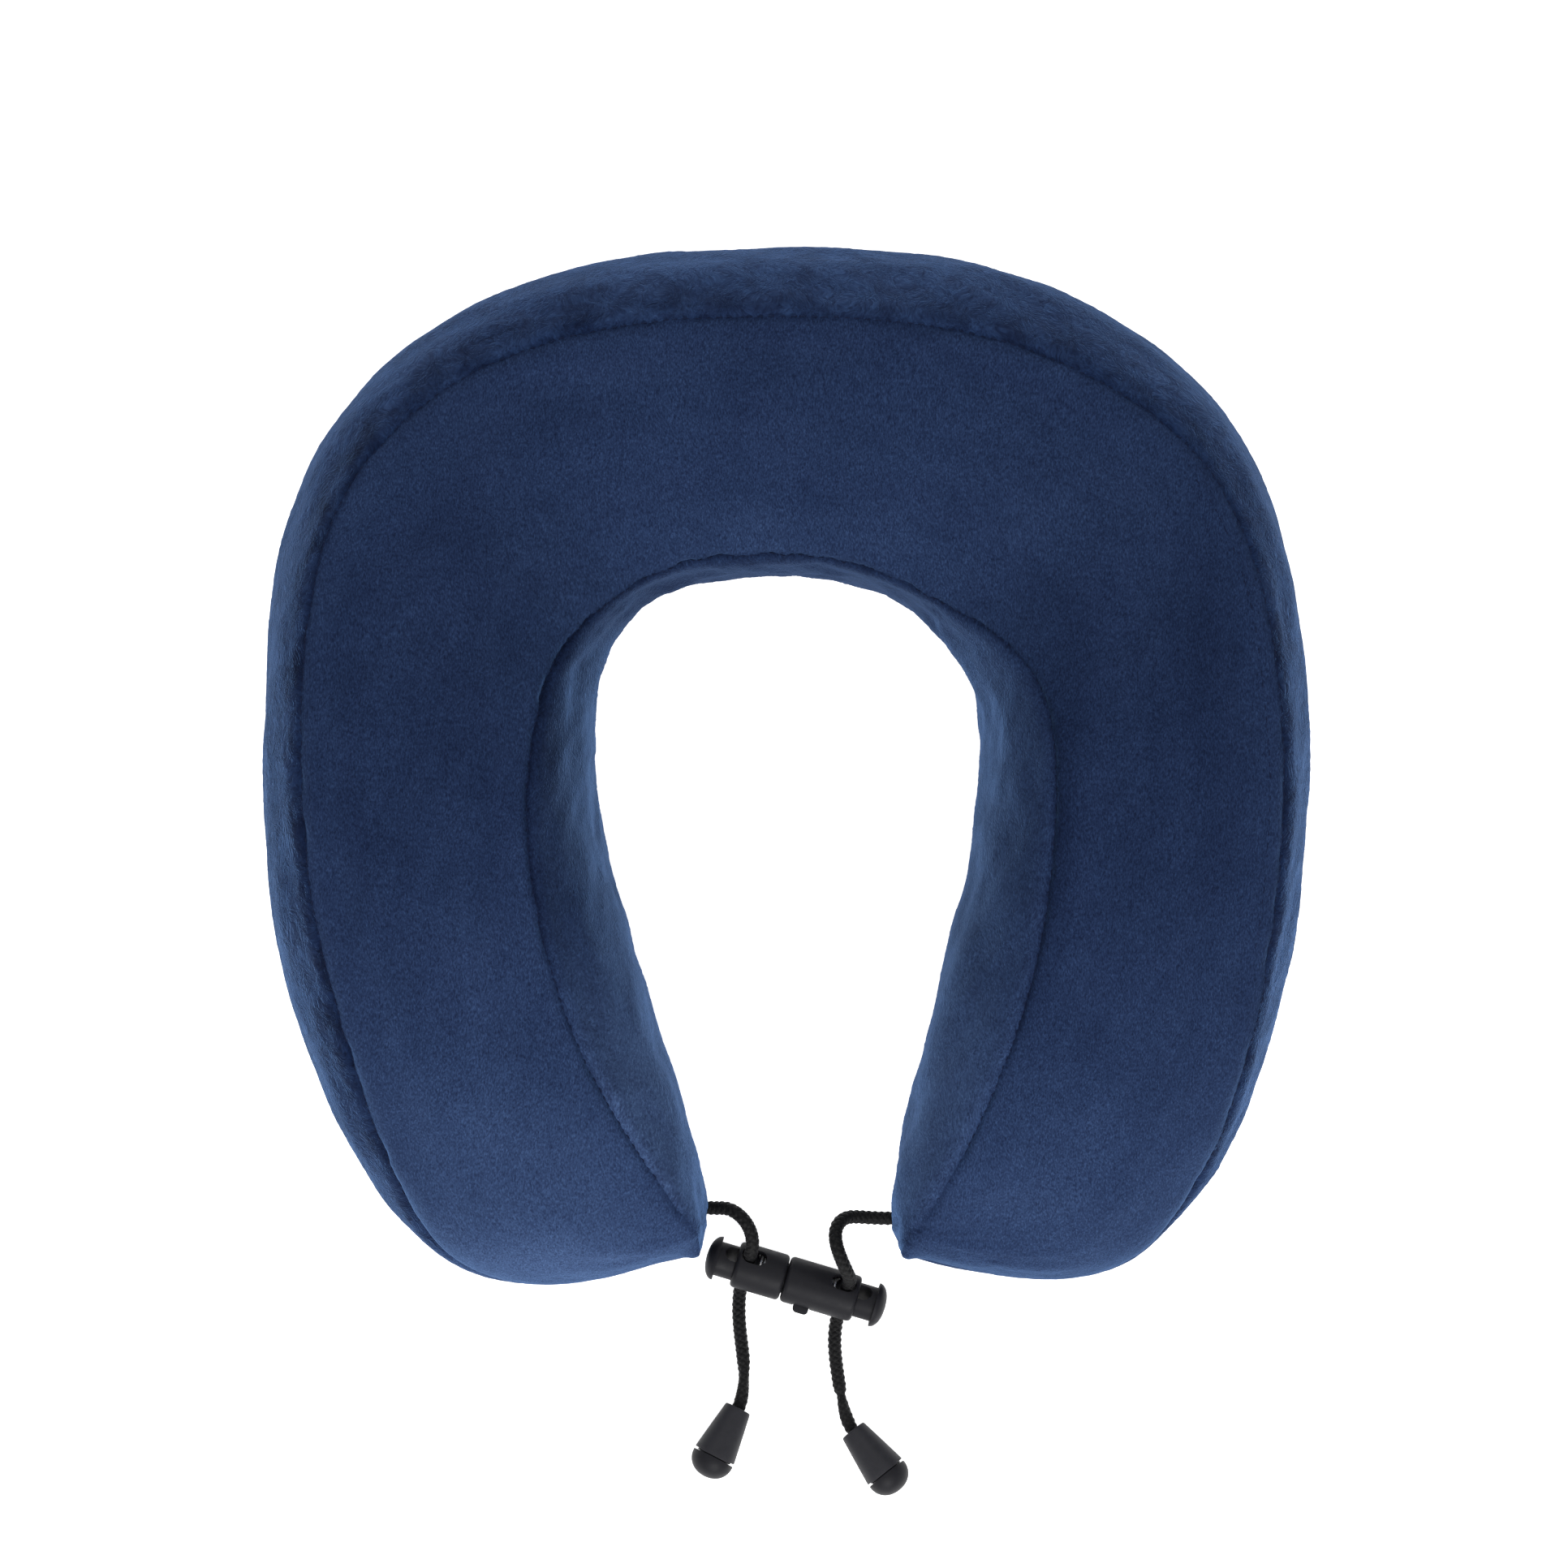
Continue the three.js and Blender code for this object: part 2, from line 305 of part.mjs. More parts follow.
class Helix extends THREE.Curve {
  constructor(s0, s1, r, turns) { super(); Object.assign(this, { s0, s1, r, turns }); }
  getPoint(t, target = new THREE.Vector3()) {
    const a = 2 * Math.PI * this.turns * t;
    return target.set(this.s0 + (this.s1 - this.s0) * t, this.r * Math.cos(a), this.r * Math.sin(a)).applyMatrix4(claspFrame);
  }
}
function tubeAlong(curve, r, sides, steps) {
  const s = new THREE.Shape(Array.from({ length: sides }, (_, i) => new THREE.Vector2(r * Math.cos(2 * Math.PI * i / sides), r * Math.sin(2 * Math.PI * i / sides))));
  return new THREE.ExtrudeGeometry(s, { steps, extrudePath: curve, bevelEnabled: false });
}
add('left_lock_spring', tubeAlong(new Helix(-2.3 - 0.7, LEFT_CORD_S + 3.5 + 0.7, 3.9, 3.5), 0.4, 6, 35), STEEL);
add('right_lock_spring', tubeAlong(new Helix(8.5 + 0.7, RIGHT_CORD_S - 3.5 - 0.7, 3.9, 3.5), 0.4, 6, 35), STEEL);

// ---------- cords ----------
function cord(points, steps) {
  return tubeAlong(new THREE.CatmullRomCurve3(points.map((p) => (p.isVector3 ? p : new THREE.Vector3(...p))), false, 'centripetal'), CORD_R, 8, steps);
}
const along = (s, d) => onAxis(s).addScaledVector(tunnelWorld, d);
add('left_upper_cord', cord([...LEFT_UPPER, along(LEFT_CORD_S, 5), along(LEFT_CORD_S, 0), along(LEFT_CORD_S, -6.8)], 18), CORD);
add('right_upper_cord', cord([...RIGHT_UPPER, along(RIGHT_CORD_S, 5), along(RIGHT_CORD_S, 0), along(RIGHT_CORD_S, -6.8)], 24), CORD);
function bellFrame([narrow, wide]) {
  const z = new THREE.Vector3(...wide).sub(new THREE.Vector3(...narrow)).normalize();
  const x = new THREE.Vector3(0, 0, 1).cross(z).normalize();
  return new THREE.Matrix4().makeBasis(x, new THREE.Vector3().crossVectors(z, x), z).setPosition(...narrow);
}
function tail(route, cordS, bell) {
  const m = bellFrame(bell), inBell = (d) => new THREE.Vector3(0, 0, d).applyMatrix4(m);
  return cord([along(cordS, -7.5), ...route, inBell(2), inBell(7)], 17);
}
add('left_tail_cord', tail(LEFT_TAIL, LEFT_CORD_S, LEFT_BELL), CORD);
add('right_tail_cord', tail(RIGHT_TAIL, RIGHT_CORD_S, RIGHT_BELL), CORD);

// ---------- bells ----------
function turnedOn(frame, profile, segments = 16) {
  const g = new THREE.LatheGeometry(profile.map(([h, r]) => new THREE.Vector2(r, h)), segments);
  g.applyMatrix4(new THREE.Matrix4().makeBasis(new THREE.Vector3(0, 1, 0), new THREE.Vector3(0, 0, 1), new THREE.Vector3(1, 0, 0)));
  return geometryOf(solid(g)).applyMatrix4(frame);
}
for (const [side, bell] of [['left', LEFT_BELL], ['right', RIGHT_BELL]]) {
  const f = bellFrame(bell), L = BELL_LEN, r0 = BELL_R0, r1 = BELL_R1;
  // outside of the cone, then back down the inside: cavity and cord bore
  add(side + '_bell', turnedOn(f, [[0, 2.45], [0, r0 - 0.5], [0.5, r0], [L - 0.2, r1], [L - 0.2, 5], [8, 4.3], [6.4, 2.45], [0, 2.45]]), BLACK);
  add(side + '_bell_cap', turnedOn(f, [[L - 2, 0], [L - 2, 4.5], [L + 0.1, 4.6], [L + 0.1, r1], [L + 1.6, r1 - 0.25], [L + 3.6, r1 - 1.5], [L + 5.2, r1 - 3.6], [L + 6, 0]]), BLACK);
  add(side + '_cord_knot', turnedOn(f, [[7.3, 0], [7.3, 2], [8.6, 3.5], [10.6, 3.9], [12.4, 3.2], [13.4, 1.6], [13.4, 0]], 12), CORD);
}

export default group;
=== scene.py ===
import math

import bmesh
import bpy
import numpy as np
from mathutils import Matrix, Vector


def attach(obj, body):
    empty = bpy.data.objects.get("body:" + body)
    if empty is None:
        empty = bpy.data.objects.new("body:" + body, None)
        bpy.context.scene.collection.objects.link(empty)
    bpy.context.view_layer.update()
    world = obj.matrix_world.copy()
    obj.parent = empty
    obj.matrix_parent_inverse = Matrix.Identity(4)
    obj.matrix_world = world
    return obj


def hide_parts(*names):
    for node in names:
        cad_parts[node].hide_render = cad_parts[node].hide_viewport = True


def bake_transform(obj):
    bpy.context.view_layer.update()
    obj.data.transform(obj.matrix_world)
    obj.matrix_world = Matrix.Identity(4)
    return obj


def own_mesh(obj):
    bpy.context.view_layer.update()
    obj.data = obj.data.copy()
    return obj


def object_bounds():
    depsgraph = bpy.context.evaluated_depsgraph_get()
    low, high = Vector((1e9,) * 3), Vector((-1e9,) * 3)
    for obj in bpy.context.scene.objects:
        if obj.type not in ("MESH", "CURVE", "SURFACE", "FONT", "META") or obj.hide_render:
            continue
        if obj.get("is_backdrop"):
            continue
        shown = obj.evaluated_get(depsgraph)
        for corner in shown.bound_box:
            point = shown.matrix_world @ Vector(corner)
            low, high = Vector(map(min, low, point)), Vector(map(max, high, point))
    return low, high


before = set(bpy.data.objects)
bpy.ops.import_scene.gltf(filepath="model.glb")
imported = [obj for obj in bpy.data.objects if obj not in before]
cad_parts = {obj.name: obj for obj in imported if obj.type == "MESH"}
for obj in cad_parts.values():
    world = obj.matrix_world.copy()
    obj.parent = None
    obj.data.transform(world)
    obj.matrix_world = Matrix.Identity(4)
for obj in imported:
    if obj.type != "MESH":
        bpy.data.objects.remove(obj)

CAD_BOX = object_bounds()
MM = 0.001
RNG = np.random.RandomState(7)

# ---------------------------------------------------------------- camera
cam_data = bpy.data.cameras.new("camera")
cam_data.sensor_width = 36.0
cam_data.lens = 127.4
cam_data.clip_start, cam_data.clip_end = 0.05, 20
camera = bpy.data.objects.new("camera", cam_data)
bpy.context.scene.collection.objects.link(camera)
camera.location = (-0.00035, -0.0047, 1.645)
camera.rotation_euler = (0, 0, 0)
bpy.context.scene.camera = camera

# ---------------------------------------------------------------- shape tables (millimetres)
LEFT = [
    [0, 150.3, 0, 56.1, 22.9, 3.5, 42, 88, 70, 34], [-39.3, 148.2, -14.7, 55.4, 23.4, 4.1, 42, 88, 70, 34],
    [-68.3, 142.1, -27.7, 52.3, 22.9, 4.8, 42, 88, 71, 34], [-91.8, 132.7, -37.8, 48.6, 22.4, 4.4, 42, 89, 73, 34],
    [-112.1, 118.6, -45.3, 43.1, 19.3, 4.7, 43, 91, 78, 35], [-128.2, 100.4, -50.7, 35.5, 18.4, 6.7, 44, 95, 85, 36],
    [-138.9, 81, -53.5, 26.1, 16.4, 11, 45, 99, 93, 37], [-145.6, 57.5, -54.9, 15.5, 15.6, 12.9, 46, 103, 100, 38],
    [-148.4, 29.4, -54.9, 1.4, 14.7, 15.7, 46, 106, 106, 38], [-149.6, -1, -53.2, -15, 14.9, 18.7, 46, 107, 108, 38],
    [-148.7, -26.7, -49.7, -32.7, 15.8, 20.2, 45, 104, 106, 37], [-145.6, -50.2, -45.1, -49.2, 15.9, 21.7, 43, 99, 101, 36],
    [-140.4, -73.7, -39.4, -68, 16.3, 22.5, 41, 91, 94, 35], [-132.2, -95.4, -33.1, -88.1, 14, 20, 38, 81, 85, 34],
    [-121.9, -116.4, -27.7, -105.2, 10.4, 14.5, 34, 68, 76, 32], [-110.4, -131.3, -24.7, -116.7, 5.3, 10.5, 30, 55, 68, 30],
    [-98.3, -142.7, -23.5, -123.9, 3, 7.3, 27, 45, 62, 28], [-84.7, -148.3, -23.1, -128.2, 2, 4.4, 25, 38, 58, 27],
    [-68.2, -150.3, -22.8, -131.2, 1.6, 2.7, 24, 34, 54, 26], [-51.6, -148.7, -23.1, -133.6, 1.4, 1.5, 23, 31, 51, 25],
    [-39.4, -145.7, -23.6, -135.6, 1.0, 1, 22, 28, 48, 24], [-27.9, -143.3, -24.1, -137.6, 4.6, 1, 20, 25, 45, 22]]
RIGHT = [
    [0, 150.3, 0, 56.1, 22.9, 3.5, 42, 88, 70, 34], [39.5, 147.2, 15.9, 54.3, 23.6, 3.7, 42, 88, 70, 34],
    [65.1, 142.1, 29.1, 49.7, 22.4, 3.2, 42, 88, 71, 34], [89, 132.7, 37.1, 44.9, 23.4, 3.6, 42, 89, 73, 34],
    [111.2, 118.6, 44.9, 38.1, 20.3, 5.9, 43, 91, 78, 35], [127.5, 100.4, 50, 32, 18.2, 9.7, 44, 95, 85, 36],
    [137.7, 81, 54, 23.8, 15.7, 12.6, 45, 99, 93, 37], [144.4, 57.5, 56.1, 13.6, 13.1, 17.2, 46, 103, 100, 38],
    [148.2, 29.4, 56.5, 1.4, 11.6, 18.3, 46, 106, 106, 38], [149.6, -1, 55.1, -15, 10.6, 19.3, 46, 107, 108, 38],
    [148.5, -26.7, 51.9, -32.7, 10.4, 21.2, 45, 104, 106, 37], [145.4, -50.2, 48.1, -49.2, 10.1, 22.6, 43, 99, 101, 36],
    [140.2, -73.7, 43.7, -68, 8.4, 22.9, 41, 91, 94, 35], [133.4, -95.4, 39, -88.1, 6.3, 20.2, 38, 81, 85, 34],
    [123.1, -116.4, 34.8, -105.2, 4.2, 16.6, 34, 68, 76, 32], [113, -131.3, 32.5, -116.7, 3, 12.8, 30, 55, 68, 30],
    [102.4, -142.2, 31.3, -123.9, 2.4, 10.3, 27, 45, 62, 28], [89.5, -146.8, 31.1, -128.2, 2, 8.1, 25, 38, 58, 27],
    [74.1, -148.9, 31.1, -131.2, 1.6, 5.9, 24, 34, 54, 26], [58.7, -147.8, 31.6, -133.8, 1.7, 4, 23, 31, 51, 25],
    [45.7, -145.5, 32.2, -136.1, 2.3, 2.2, 22, 28, 48, 24], [36.8, -143.2, 33.2, -138.2, 3.6, 1, 20, 25, 45, 22]]
CROWN_OUT = [20, 20, 20, 20, 20, 20, 20, 20, 20, 20, 21, 23, 27, 34, 46, 60, 68, 66, 60, 50, 36, 19]
CROWN_OUT_RIGHT = CROWN_OUT[:18] + [52, 36, 18, 6]
CROWN_IN = [20, 20, 20, 20, 20, 20, 20, 20, 20, 20, 20, 21, 22, 23, 24, 25, 26, 30, 38, 50, 66, 82]
ROWS = np.array([r + [a, b] for r, a, b in zip(LEFT, CROWN_OUT, CROWN_IN)][::-1]
                + [r + [a, b] for r, a, b in zip(RIGHT, CROWN_OUT_RIGHT, CROWN_IN)][1:], float)


def spline(P, t):
    """Catmull-Rom through the rows of P at the fractional indices t."""
    P = np.asarray(P, float)
    n = len(P)
    t = np.clip(np.asarray(t, float), 0, n - 1)
    i = np.minimum(t.astype(int), n - 2)
    f = (t - i).reshape((-1,) + (1,) * (P.ndim - 1))
    first, last = 2 * P[0] - P[1], 2 * P[-1] - P[-2]
    Q = np.concatenate([first[None], P, last[None]])
    a, b, c, d = Q[i], Q[i + 1], Q[i + 2], Q[i + 3]
    return 0.5 * (2 * b + (c - a) * f + (2 * a - 5 * b + 4 * c - d) * f * f + (3 * b - a - 3 * c + d) * f ** 3)


def soften(A, times):
    """Evens out the measured station values without moving the ends."""
    A = A.copy()
    for _ in range(times):
        A[1:-1] = 0.25 * A[:-2] + 0.5 * A[1:-1] + 0.25 * A[2:]
    return A


ROWS[:, 4:] = soften(ROWS[:, 4:], 1)
for _ in range(3):  # evens the outline without shrinking it
    for k in (0.5, -0.52):
        ROWS[2:-2, :4] += k * (0.5 * (ROWS[1:-3, :4] + ROWS[3:-1, :4]) - ROWS[2:-2, :4])
DEG = math.pi / 180


def curves(row):
    """One cross-section: its frame and the four panel curves, each a dense polyline of (across, up)."""
    ox, oy, ix, iy, a, b, zO, zOS, zIS, zI, co, ci = row
    W = math.hypot(ix - ox, iy - oy)
    v = np.array([(ix - ox) / W, (iy - oy) / W])
    bo, bi = min(10, 0.3 * W), min(8.5, 0.26 * W)
    s = np.linspace(0, 90, 25) * DEG
    p = np.linspace(0, 65, 25)[1:] * DEG
    k = 1 - math.cos(65 * DEG), math.sin(65 * DEG)
    outer = np.r_[np.c_[bo * (1 - np.sin(s)), zO * (1 - np.cos(s))],
                  np.c_[a * (1 - np.cos(p)) / k[0], zO + (zOS - zO) * np.sin(p) / k[1]]]
    inner = np.r_[np.c_[bi * (1 - np.sin(s)), zI * (1 - np.cos(s))],
                  np.c_[b * (1 - np.cos(p)) / k[0], zI + (zIS - zI) * np.sin(p) / k[1]]]
    inner[:, 0] = W - inner[:, 0]
    p0, p3 = np.array([a, zOS]), np.array([W - b, zIS])
    L = np.linalg.norm(p3 - p0)
    chord = math.atan2(p3[1] - p0[1], p3[0] - p0[0])
    d0, d3, h = chord + co * DEG, chord - ci * DEG, 0.38 * L
    p1 = p0 + h * np.array([math.cos(d0), math.sin(d0)])
    p2 = p3 - h * np.array([math.cos(d3), math.sin(d3)])
    t = np.linspace(0, 1, 60)[:, None]
    top = (1 - t) ** 3 * p0 + 3 * (1 - t) ** 2 * t * p1 + 3 * (1 - t) * t * t * p2 + t ** 3 * p3
    bottom = np.c_[np.linspace(W - bi, bo, 20), np.zeros(20)]
    return dict(W=W, O=np.array([ox, oy]), v=v, outer=outer, top=top, inner=inner[::-1], bottom=bottom)


def at_arc(line, d):
    """Points of a polyline at the distances d from its start (d may be negative: from its end)."""
    seg = np.r_[0, np.cumsum(np.linalg.norm(np.diff(line, axis=0), axis=1))]
    d = np.where(d < 0, seg[-1] + d, d)
    return np.c_[np.interp(d, seg, line[:, 0]), np.interp(d, seg, line[:, 1])], seg[-1]


def place(c, q):
    return np.c_[c["O"][0] + c["v"][0] * q[:, 0], c["O"][1] + c["v"][1] * q[:, 0], q[:, 1]]


def smooth_curve(P, x, q):
    """Natural cubic spline through the rows of P at the knots x, evaluated at q."""
    n, h = len(x), np.diff(x)
    A, B = np.zeros((n, n)), np.zeros(P.shape)
    A[0, 0] = A[-1, -1] = 1
    for i in range(1, n - 1):
        A[i, i - 1:i + 2] = h[i - 1], 2 * (h[i - 1] + h[i]), h[i]
        B[i] = 6 * ((P[i + 1] - P[i]) / h[i] - (P[i] - P[i - 1]) / h[i - 1])
    K = np.linalg.solve(A, B)
    i = np.clip(np.searchsorted(x, q) - 1, 0, n - 2)
    a, b, hh = (x[i + 1] - q)[:, None], (q - x[i])[:, None], h[i][:, None]
    return (K[i] * a ** 3 + K[i + 1] * b ** 3) / (6 * hh) + (P[i] / hh - K[i] * hh / 6) * a + (P[i + 1] / hh - K[i + 1] * hh / 6) * b


# stations at even spacing along the middle of the U
_knot = 0.65 * ROWS[:, :2] + 0.35 * ROWS[:, 2:4]
KNOTS = np.r_[0, np.cumsum(np.linalg.norm(np.diff(_knot, axis=0), axis=1))]
_fine = np.linspace(0, KNOTS[-1], 2000)
_r = smooth_curve(ROWS, KNOTS, _fine)
_mid = 0.65 * _r[:, :2] + 0.35 * _r[:, 2:4]
_arc = np.r_[0, np.cumsum(np.linalg.norm(np.diff(_mid, axis=0), axis=1))]
U_LEN = _arc[-1]
END_LEN = 1.3  # how far the rounded nose stands past the last station


def stations(n):
    """n stations evenly along the U; returns their knot positions and arc positions."""
    s = np.linspace(0.05, U_LEN - 0.05, n)
    return np.interp(s, _arc, _fine), s


def closed_end(c, phi, sign):
    """Rounds the cover off past the last station, to a standing seam at each tip."""
    W = c["W"]
    t = np.array([c["v"][1], -c["v"][0]]) * sign
    out = dict(c)
    out["O"] = c["O"] + t * END_LEN * math.sin(phi) ** 2
    for key in ("outer", "top", "inner", "bottom"):
        q = c[key].copy()
        q[:, 0] = W / 2 + (q[:, 0] - W / 2) * math.cos(phi)
        q[:, 1] = q[:, 1] - np.clip((q[:, 1] - 20) / 28, 0, 1) * 3.0 * (1 - math.cos(phi))
        out[key] = q
    return out


def sections(n, ends=6):
    idx, s = stations(n)
    cs = [curves(r) for r in smooth_curve(ROWS, KNOTS, idx)]
    left = [closed_end(cs[0], e / ends * 86 * DEG, 1) for e in range(ends, 0, -1)]
    right = [closed_end(cs[-1], e / ends * 86 * DEG, -1) for e in range(1, ends + 1)]
    r = END_LEN
    sl = [s[0] - r * e / ends for e in range(ends, 0, -1)]
    sr = [s[-1] + r * e / ends for e in range(1, ends + 1)]
    i0 = [idx[0]] * ends
    i1 = [idx[-1]] * ends
    return left + cs + right, np.r_[sl, s, sr], np.r_[i0, idx, i1]


PANELS = ("outer", "top", "inner", "bottom")
SIM_COUNT = {"outer": 13, "top": 17, "inner": 13, "bottom": 9}


# ---------------------------------------------------------------- cloth simulation of the cover
def simulate(n=150):
    """Inflates the cover between its seams. Returns, for each panel, how far each grid point moved."""
    cs, s, idx = sections(n, ends=2)
    grid, pin, owner = [], [], []
    for c in cs:
        ring = []
        for p in PANELS:
            line = c[p]
            length = np.linalg.norm(np.diff(line, axis=0), axis=1).sum()
            q, _ = at_arc(line, np.linspace(0, length, SIM_COUNT[p])[:-1])
            ring.append(place(c, q))
        grid.append(np.concatenate(ring))
    for p in PANELS:
        k = SIM_COUNT[p] - 1
        for j in range(k):
            seam = j == 0
            w = 1.0 if seam or p == "bottom" else 0.0
            if p == "outer" and j <= 2 or p == "inner" and j >= k - 2:
                w = max(w, 0.55)
            pin.append(w)
            owner.append((p, j))
    G = np.array(grid)
    M, N = G.shape[:2]
    shrunk = G * MM
    verts = shrunk.reshape(-1, 3)
    faces = [(m * N + j, m * N + (j + 1) % N, (m + 1) * N + (j + 1) % N, (m + 1) * N + j) for m in range(M - 1) for j in range(N)]
    mesh = bpy.data.meshes.new("cover_sim")
    mesh.from_pydata(verts.tolist(), [], faces)
    bm = bmesh.new()
    bm.from_mesh(mesh)
    bmesh.ops.recalc_face_normals(bm, faces=bm.faces)
    bm.to_mesh(mesh)
    bm.free()
    obj = bpy.data.objects.new("cover_sim", mesh)
    bpy.context.scene.collection.objects.link(obj)
    group = obj.vertex_groups.new(name="pin")
    for j, w in enumerate(pin):
        if w > 0:
            group.add([m * N + j for m in range(M)], w, "REPLACE")
    ends = list(range(2 * N)) + list(range((M - 2) * N, M * N))
    group.add(ends, 1.0, "REPLACE")
    mod = obj.modifiers.new("cloth", "CLOTH")
    st = mod.settings
    st.quality = 6
    st.mass = 0.25
    st.tension_stiffness = st.compression_stiffness = 18
    st.shear_stiffness = 8
    st.bending_stiffness = 0.6
    st.air_damping = 2
    st.use_pressure = True
    st.uniform_pressure_force = 3.0
    st.vertex_group_mass = "pin"
    st.pin_stiffness = 1.0
    st.shrink_min = -0.035
    st.effector_weights.gravity = 0
    mod.collision_settings.use_collision = False
    scene = bpy.context.scene
    mod.point_cache.frame_start, mod.point_cache.frame_end = 1, 20
    scene.frame_start, scene.frame_end = 1, 20
    for f in range(1, 21):
        scene.frame_set(f)
    bpy.context.view_layer.update()
    ev = obj.evaluated_get(bpy.context.evaluated_depsgraph_get())
    me = ev.to_mesh()
    co = np.empty(len(me.vertices) * 3, np.float32)
    me.vertices.foreach_get("co", co)
    ev.to_mesh_clear()
    delta = co.reshape(M, N, 3).astype(float) / MM - G
    bpy.data.objects.remove(obj, do_unlink=True)
    bpy.data.meshes.remove(mesh)
    scene.frame_set(1)
    size = np.linalg.norm(delta, axis=-1, keepdims=True)
    print("cover simulation: moved up to %.1f mm, mean %.2f mm" % (size.max(), size.mean()))
    # the panels are cut so that the filled cover meets the measured outline: its even swelling is taken off and the unevenness stays
    swell = delta.copy()
    for _ in range(60):
        swell[1:-1] = 0.25 * swell[:-2] + 0.5 * swell[1:-1] + 0.25 * swell[2:]
    ripple = delta - swell
    for _ in range(4):
        ripple[1:-1] = 0.25 * ripple[:-2] + 0.5 * ripple[1:-1] + 0.25 * ripple[2:]
    size, cap = np.linalg.norm(ripple, axis=-1, keepdims=True), 0.45
    delta = ripple * np.where(size > 1e-9, cap * np.tanh(0.8 * size / cap) / np.maximum(size, 1e-9), 0)
    out, at = {}, 0
    for p in PANELS:
        k = SIM_COUNT[p] - 1
        cols = [(at + j) % N for j in range(k + 1)]
        out[p] = delta[:, cols]
        at += k
    return s, out


SIM = simulate()


def moved(panel, s, t):
    """The simulation's movement of a panel at arc positions s and shares t across (2-D grids)."""
    if SIM is None:
        return 0.0
    ss, table = SIM
    D = table[panel]
    rows = spline(D, np.interp(s[:, 0], ss, np.arange(len(ss))))
    k = D.shape[1] - 1
    out = np.empty(s.shape + (3,))
    for m in range(s.shape[0]):
        out[m] = spline(rows[m], t[m] * k)
    return out


def smooth_noise(s, t, seed, ls, lt):
    """Gentle random field over arc position and distance across, from a few waves."""
    r = np.random.RandomState(seed)
    f = np.zeros(np.broadcast(s, t).shape)
    for _ in range(14):
        a, b = r.normal(0, 1 / ls), r.normal(0, 1 / lt)
        f += np.cos(2 * math.pi * (a * s + b * t) + r.uniform(0, 6.28))
    return f / math.sqrt(7)


# ---------------------------------------------------------------- panels
EDGE = np.array([0, 0.45, 0.9, 1.4, 2.0, 2.8, 3.8, 5.2, 7.0])
N_ST = 760


def panel_grid(panel, middle, cs, s, idx):
    """Grid of points of one panel, rolled in at its two seams."""
    pts, share, dist = [], [], []
    for c in cs:
        line = c[panel]
        L = np.linalg.norm(np.diff(line, axis=0), axis=1).sum()
        e = EDGE * min(1.0, L / 22.0)
        d = np.r_[e, np.linspace(e[-1], L - e[-1], middle + 2)[1:-1], (L - e)[::-1]]
        q, _ = at_arc(line, d)
        pts.append(place(c, q))
        share.append(d / L)
        dist.append(np.minimum(d, L - d))
    P, T, D = np.array(pts), np.array(share), np.array(dist)
    S = np.repeat(s[:, None], P.shape[1], 1)
    return P, S, T, D


def normals(P):
    du = np.gradient(P, axis=0)
    dv = np.gradient(P, axis=1)
    n = np.cross(dv, du)
    n /= np.maximum(np.linalg.norm(n, axis=-1, keepdims=True), 1e-9)
    return n


def make_mesh(name, verts, faces, uv=None, smooth=True):
    mesh = bpy.data.meshes.new(name)
    mesh.from_pydata([tuple(v) for v in verts], [], faces)
    if uv is not None:
        layer = mesh.uv_layers.new(name="UVMap")
        loops = np.empty(len(mesh.loops), np.int32)
        mesh.loops.foreach_get("vertex_index", loops)
        layer.data.foreach_set("uv", np.asarray(uv, np.float32)[loops].ravel())
    mesh.polygons.foreach_set("use_smooth", [smooth] * len(mesh.polygons))
    obj = bpy.data.objects.new(name, mesh)
    bpy.context.scene.collection.objects.link(obj)
    return obj


def grid_faces(M, N, flip=False):
    f = [(m * N + j, m * N + j + 1, (m + 1) * N + j + 1, (m + 1) * N + j) for m in range(M - 1) for j in range(N - 1)]
    return [x[::-1] for x in f] if flip else f


def outward(P, n, cs):
    """Sign that makes n point away from the section's middle."""
    mid = np.array([place(c, np.array([[c["W"] / 2, 30.0]]))[0] for c in cs])
    away = P[:, P.shape[1] // 2] - mid
    return np.sign((n[:, P.shape[1] // 2] * away).sum(-1).mean())


SEAMS = {}


def seam_frames(G):
    """Blends the normals of neighbouring panels into one shared normal along each seam."""
    out = {}
    unit = lambda v: v / np.linalg.norm(v, axis=-1, keepdims=True)
    out["outer", 1] = out["top", 0] = unit(G["outer"][1][:, -2] + G["top"][1][:, 1])
    out["top", 1] = out["inner", 0] = unit(G["top"][1][:, -2] + G["inner"][1][:, 1])
    out["outer", 0], out["inner", 1] = G["outer"][1][:, 0], G["inner"][1][:, -1]
    return out


